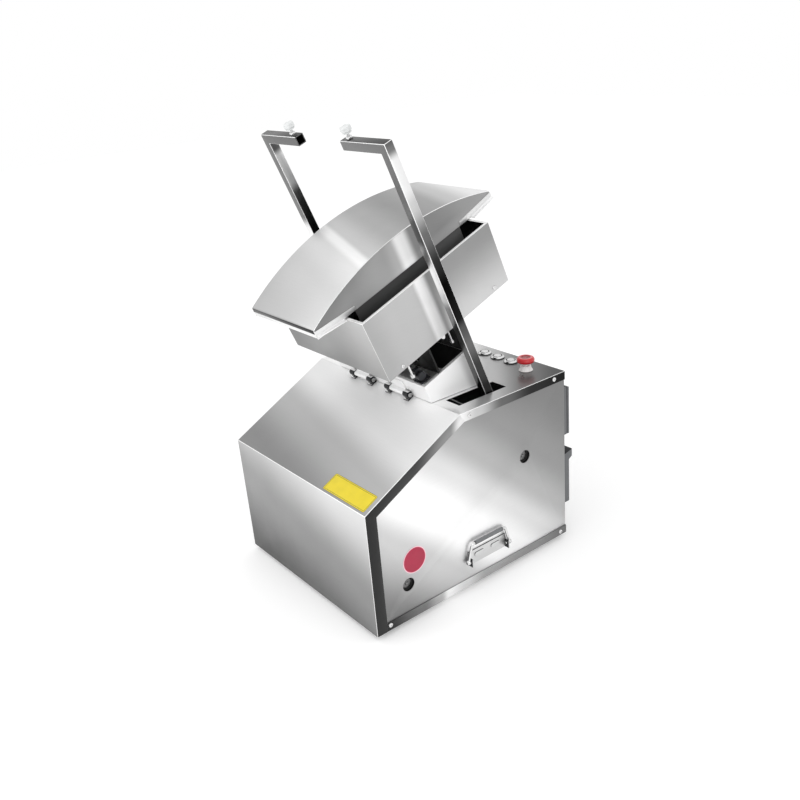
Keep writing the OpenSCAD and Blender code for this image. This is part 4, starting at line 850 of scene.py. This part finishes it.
def makeBail(side, name, node, body):
    # Rod and sleeve; both are darker below and where they turn from the light
    b = bail
    corners = ((-b["foot"], b["pivot"]), (-b["grip"], b["top"]), (b["grip"], b["top"]), (b["foot"], b["pivot"]))
    rod = bentRod([(b["x"], b["middle"] + y, z) for y, z in corners], b["rod"], b["bend"])
    for s in (-1, 1):
        addTo(rod, turned(b["dome"], 32), facing(b["x"], b["middle"] + s * b["foot"], b["pivot"], (0, -s, 0)))
    sleeve = turned(b["sleeve"], 32, facing(b["x"], b["middle"], b["top"], (0, 1, 0)))
    for part in (rod, sleeve):
        if side < 0:
            part.transform(mirrored)
    finishPiece(name, rod, body, [platedSteel, darkAndShade], cabinet, (node,),
                paint=lambda c, n: 1 if n.z < -0.45 or abs(n.y) > 0.92 or n.x * side < -0.5 else 0)
    finishPiece(name + "Sleeve", sleeve, body, [gripPlastic, darkAndShade], cabinet,
                paint=lambda c, n: 1 if n.z < -0.1 or abs(n.y) > 0.5 else 0)


makeBail(1, "bailRight", "handle_bail_right", "bail_right")
makeBail(-1, "bailLeft", "handle_bail_left", "bail_left")
print("handles done")

# Small fasteners: (y, z) on each side panel, (x, z) on the rear, (u, low) below the housing
sideScrews = {"spots": ((-3, 401.5), (246, 401.5), (261, 9.6), (-246.8, 12.5)), "head": (5.2, 2.2)}
rearScrews = {"x": (-236, -90, 90, 236), "z": (9.6, 401.5), "head": (4.6, 2.0)}
housingScrew = {"head": (4.6, 2.4)}
stubBolt = {"x": 140, "spots": ((-110, 282), (10, 284)), "head": 5, "height": 8, "chamfer": 0.6, "shank": 2.6,
            "top": 332.8}


def makeScrews():
    heads = bmesh.new()
    for s in (-1, 1):
        for y, z in sideScrews["spots"]:
            addTo(heads, screwHead(facing(s * cabinetBox["side"], y, z, (s, 0, 0)), *sideScrews["head"]))
    for x in rearScrews["x"]:
        for z in rearScrews["z"]:
            addTo(heads, screwHead(facing(x, cabinetBox["rear"], z, (0, 1, 0)), *rearScrews["head"]))
    finishPiece("cabinetScrews", heads, "cabinet", platedSteel, cabinet)
    h = housingBox
    heads = bmesh.new()
    for s in (-1, 1):
        for u in (-h["screwU"], h["screwU"]):
            addTo(heads, screwHead(facing(s * h["side"], u, h["screwN"], (s, 0, 0)), *housingScrew["head"]))
    finishPiece("housingScrews", heads, "head", platedSteel, tilted)
    b = stubBolt
    edge = b["head"] - b["chamfer"]
    bolts = bmesh.new()
    for u, low in b["spots"]:
        high = low + b["height"]
        for s in (-1, 1):
            addTo(bolts, turned([(0, low), (edge, low), (b["head"], low + b["chamfer"]),
                                 (b["head"], high - b["chamfer"]), (edge, high), (b["shank"], high),
                                 (b["shank"], b["top"]), (0, b["top"])], 24),
                  Matrix.Translation((s * b["x"], u, 0)))
    finishPiece("stubBolts", bolts, "head", platedSteel, tilted)


makeScrews()

# Bare label on the slope and bare round sticker on the side; bands are (width, material) from the rim in
film = {"thick": 0.25, "gap": 0.02}
slopeLabel = {"size": (142, 43), "corner": 4.6, "place": (168, 27.5), "bands": ((0.7, 1), (2.2, 0), (0.8, 1))}
sideSticker = {"radius": 30, "place": (-171, 134), "panel": 248.3, "bands": ((1.6, 1), (1.0, 2))}


def makeFilm(name, bm, bands, place, materials):
    # A thin raised film; the faces of each band take their material, the middle keeps the first
    made = bmesh.ops.extrude_face_region(bm, geom=bm.faces[:])["geom"]
    bmesh.ops.translate(bm, vec=(0, 0, film["thick"]), verts=vertsOf(made))
    bmesh.ops.recalc_face_normals(bm, faces=bm.faces)
    top = max(bm.faces, key=lambda f: (f.calc_center_median().z, f.calc_area()))
    for width, material in bands:
        for face in bmesh.ops.inset_region(bm, faces=[top], thickness=width)["faces"]:
            face.material_index = material
    finishPiece(name, bm, "cabinet", materials, place)


def makeLabels():
    t = slopeLabel
    bm = bmesh.new()
    bmesh.ops.create_grid(bm, x_segments=1, y_segments=1, size=0.5)
    bmesh.ops.scale(bm, vec=(*t["size"], 1), verts=bm.verts)
    bevelled(bm, bm.verts[:], t["corner"], 4, "VERTICES")
    bmesh.ops.translate(bm, vec=(*t["place"], film["gap"]), verts=bm.verts)
    makeFilm("slopeLabel", bm, t["bands"], sloped, [labelYellow, labelRim])
    t = sideSticker
    bm = bmesh.new()
    bmesh.ops.create_circle(bm, segments=64, radius=t["radius"], cap_ends=True)
    makeFilm("sideSticker", bm, t["bands"], cabinet @ facing(t["panel"] + film["gap"], *t["place"], alongX),
             [stickerRed, stickerPale, stickerSoft])


makeLabels()
print("fasteners done")

# Carried nodes keep their shape and get a finish; the table frame's finish is the inside painted shade
finishOf = {
    "frame_plates": greyPaint, "frame_ties": groundSteel, "flange_bearings": castIron, "crank_stand": castIron,
    "motor_body": motorPaint, "motor_cradle": greyPaint, "drive_belt": beltRubber, "rocker_shaft": postSteel,
    "arm_hubs": gearSteel, "rocker_lever": castIron, "connecting_rod": castIron, "crank_shaft": postSteel,
    "crank_disc": castIron, "crank_pulley": darkPlate, "motor_shaft": groundSteel, "motor_pulley": darkPlate,
    "housing_floor": paleSteel, "traverse_rods": blackSteel, "rod_blocks": blackSteel,
    "pinion_bearings": castIron, "gear_motors": darkPlate, "limit_switch": darkPlate,
    "traverse_screw": blackSteel, "traverse_carriage": greyPaint, "guide_bushes": bronze,
    "table_frame": insideShade, "guide_posts": postSteel, "lift_rack": blackSteel, "lift_pinion": blackSteel,
}
for name, finish in finishOf.items():
    for spot in nodes[name].material_slots:
        spot.material = finish
    if not nodes[name].material_slots:
        nodes[name].data.materials.append(finish)
print("carried nodes finished")

# Studio: pale floor, white surround, two soft lamps, camera at the picture's angle; metres and watts
studio = {"floorHalf": 9, "floorTone": (0.86, 0.86, 0.86, 1), "floorGlow": 0.22, "sky": 0.95, "backdrop": 1.0,
          "gloss": [(0, 250), (0.35, 240), (0.7, 252), (1, 255)], "glossLine": ((0, 0, 1), -0.1, 1)}
lamps = {"keyLamp": {"place": (-0.5, -2.3, 1.7), "aim": (0, 0, 0.4), "size": 1.8, "power": 16},
         "fillLamp": {"place": (2.2, -0.6, 1.6), "aim": (0, 0, 0.5), "size": 1.6, "power": 8}}
cameraView = {"lens": 40.01, "sensor": 36, "far": 50, "place": (1.48739, -1.11052, 1.15552),
              "right": (0.61893, 0.78139, -0.07969), "up": (-0.26181, 0.30090, 0.91701),
              "back": (0.74053, -0.54670, 0.39082)}
white = (1, 1, 1, 1)


def eitherOf(tree, first, second):
    # 1 where either kind of ray is traced
    path = addNode(tree, "ShaderNodeLightPath")
    most = addNode(tree, "ShaderNodeMath", operation="MAXIMUM")
    tree.links.new(path.outputs[first], most.inputs[0])
    tree.links.new(path.outputs[second], most.inputs[1])
    return most.outputs[0]


def makeFloor():
    bm = bmesh.new()
    bmesh.ops.create_grid(bm, x_segments=8, y_segments=8, size=studio["floorHalf"])
    mesh = bpy.data.meshes.new("studioFloor")
    bm.to_mesh(mesh)
    bm.free()
    floor = bpy.data.objects.new("studioFloor", mesh)
    bpy.context.scene.collection.objects.link(floor)
    material, tree, shader = newMaterial("floor paper", Roughness=0.9)
    shader.inputs["Base Color"].default_value = studio["floorTone"]
    coords = addNode(tree, "ShaderNodeTexCoord").outputs["Object"]
    bumpFrom(tree, shader, noiseOf(tree, coords, noiseScale["paper"]), *skin["paper"])
    glow = addNode(tree, "ShaderNodeMath", operation="MULTIPLY")
    glow.inputs[1].default_value = studio["floorGlow"]
    tree.links.new(eitherOf(tree, "Is Camera Ray", "Is Glossy Ray"), glow.inputs[0])
    shader.inputs["Emission Color"].default_value = white
    tree.links.new(glow.outputs[0], shader.inputs["Emission Strength"])
    mesh.materials.append(material)


def makeSurround():
    # A grey-white sky for diffuse light, a soft ramp in reflections, white behind for the camera
    world = bpy.data.worlds.new("studio")
    bpy.context.scene.world = world
    world.use_nodes = True
    tree = world.node_tree
    sky = tree.nodes["Background"]
    sky.inputs["Color"].default_value = white
    sky.inputs["Strength"].default_value = studio["sky"]
    backdrop = addNode(tree, "ShaderNodeBackground", {"Color": white, "Strength": studio["backdrop"]})
    coords = addNode(tree, "ShaderNodeTexCoord").outputs["Generated"]
    gloss = addNode(tree, "ShaderNodeBackground", {"Strength": 1.0})
    tree.links.new(rampAlong(tree, coords, studio["glossLine"], studio["gloss"]), gloss.inputs["Color"])
    shine = eitherOf(tree, "Is Glossy Ray", "Is Transmission Ray")
    seen = addNode(tree, "ShaderNodeLightPath").outputs["Is Camera Ray"]
    surround = sky.outputs[0]
    for share, other in ((shine, gloss), (seen, backdrop)):
        mix = addNode(tree, "ShaderNodeMixShader")
        tree.links.new(share, mix.inputs["Fac"])
        tree.links.new(surround, mix.inputs[1])
        tree.links.new(other.outputs[0], mix.inputs[2])
        surround = mix.outputs[0]
    tree.links.new(surround, tree.nodes["World Output"].inputs["Surface"])


def makeLights():
    for name, spec in lamps.items():
        lamp = bpy.data.lights.new(name, "AREA")
        lamp.size = spec["size"]
        lamp.energy = spec["power"]
        holder = bpy.data.objects.new(name, lamp)
        holder.location = spec["place"]
        aim = Vector(spec["aim"]) - Vector(spec["place"])
        holder.rotation_euler = aim.to_track_quat("-Z", "Y").to_euler()
        bpy.context.scene.collection.objects.link(holder)


def makeCamera():
    c = cameraView
    lens = bpy.data.cameras.new("camera")
    lens.lens = c["lens"]
    lens.sensor_width = c["sensor"]
    lens.clip_end = c["far"]
    camera = bpy.data.objects.new("camera", lens)
    turn = Matrix((c["right"], c["up"], c["back"])).transposed().to_4x4()
    camera.matrix_world = Matrix.Translation(c["place"]) @ turn
    bpy.context.scene.collection.objects.link(camera)
    bpy.context.scene.camera = camera


bpy.context.scene.view_settings.view_transform = "Standard"
makeFloor()
makeSurround()
makeLights()
makeCamera()
print("studio done")
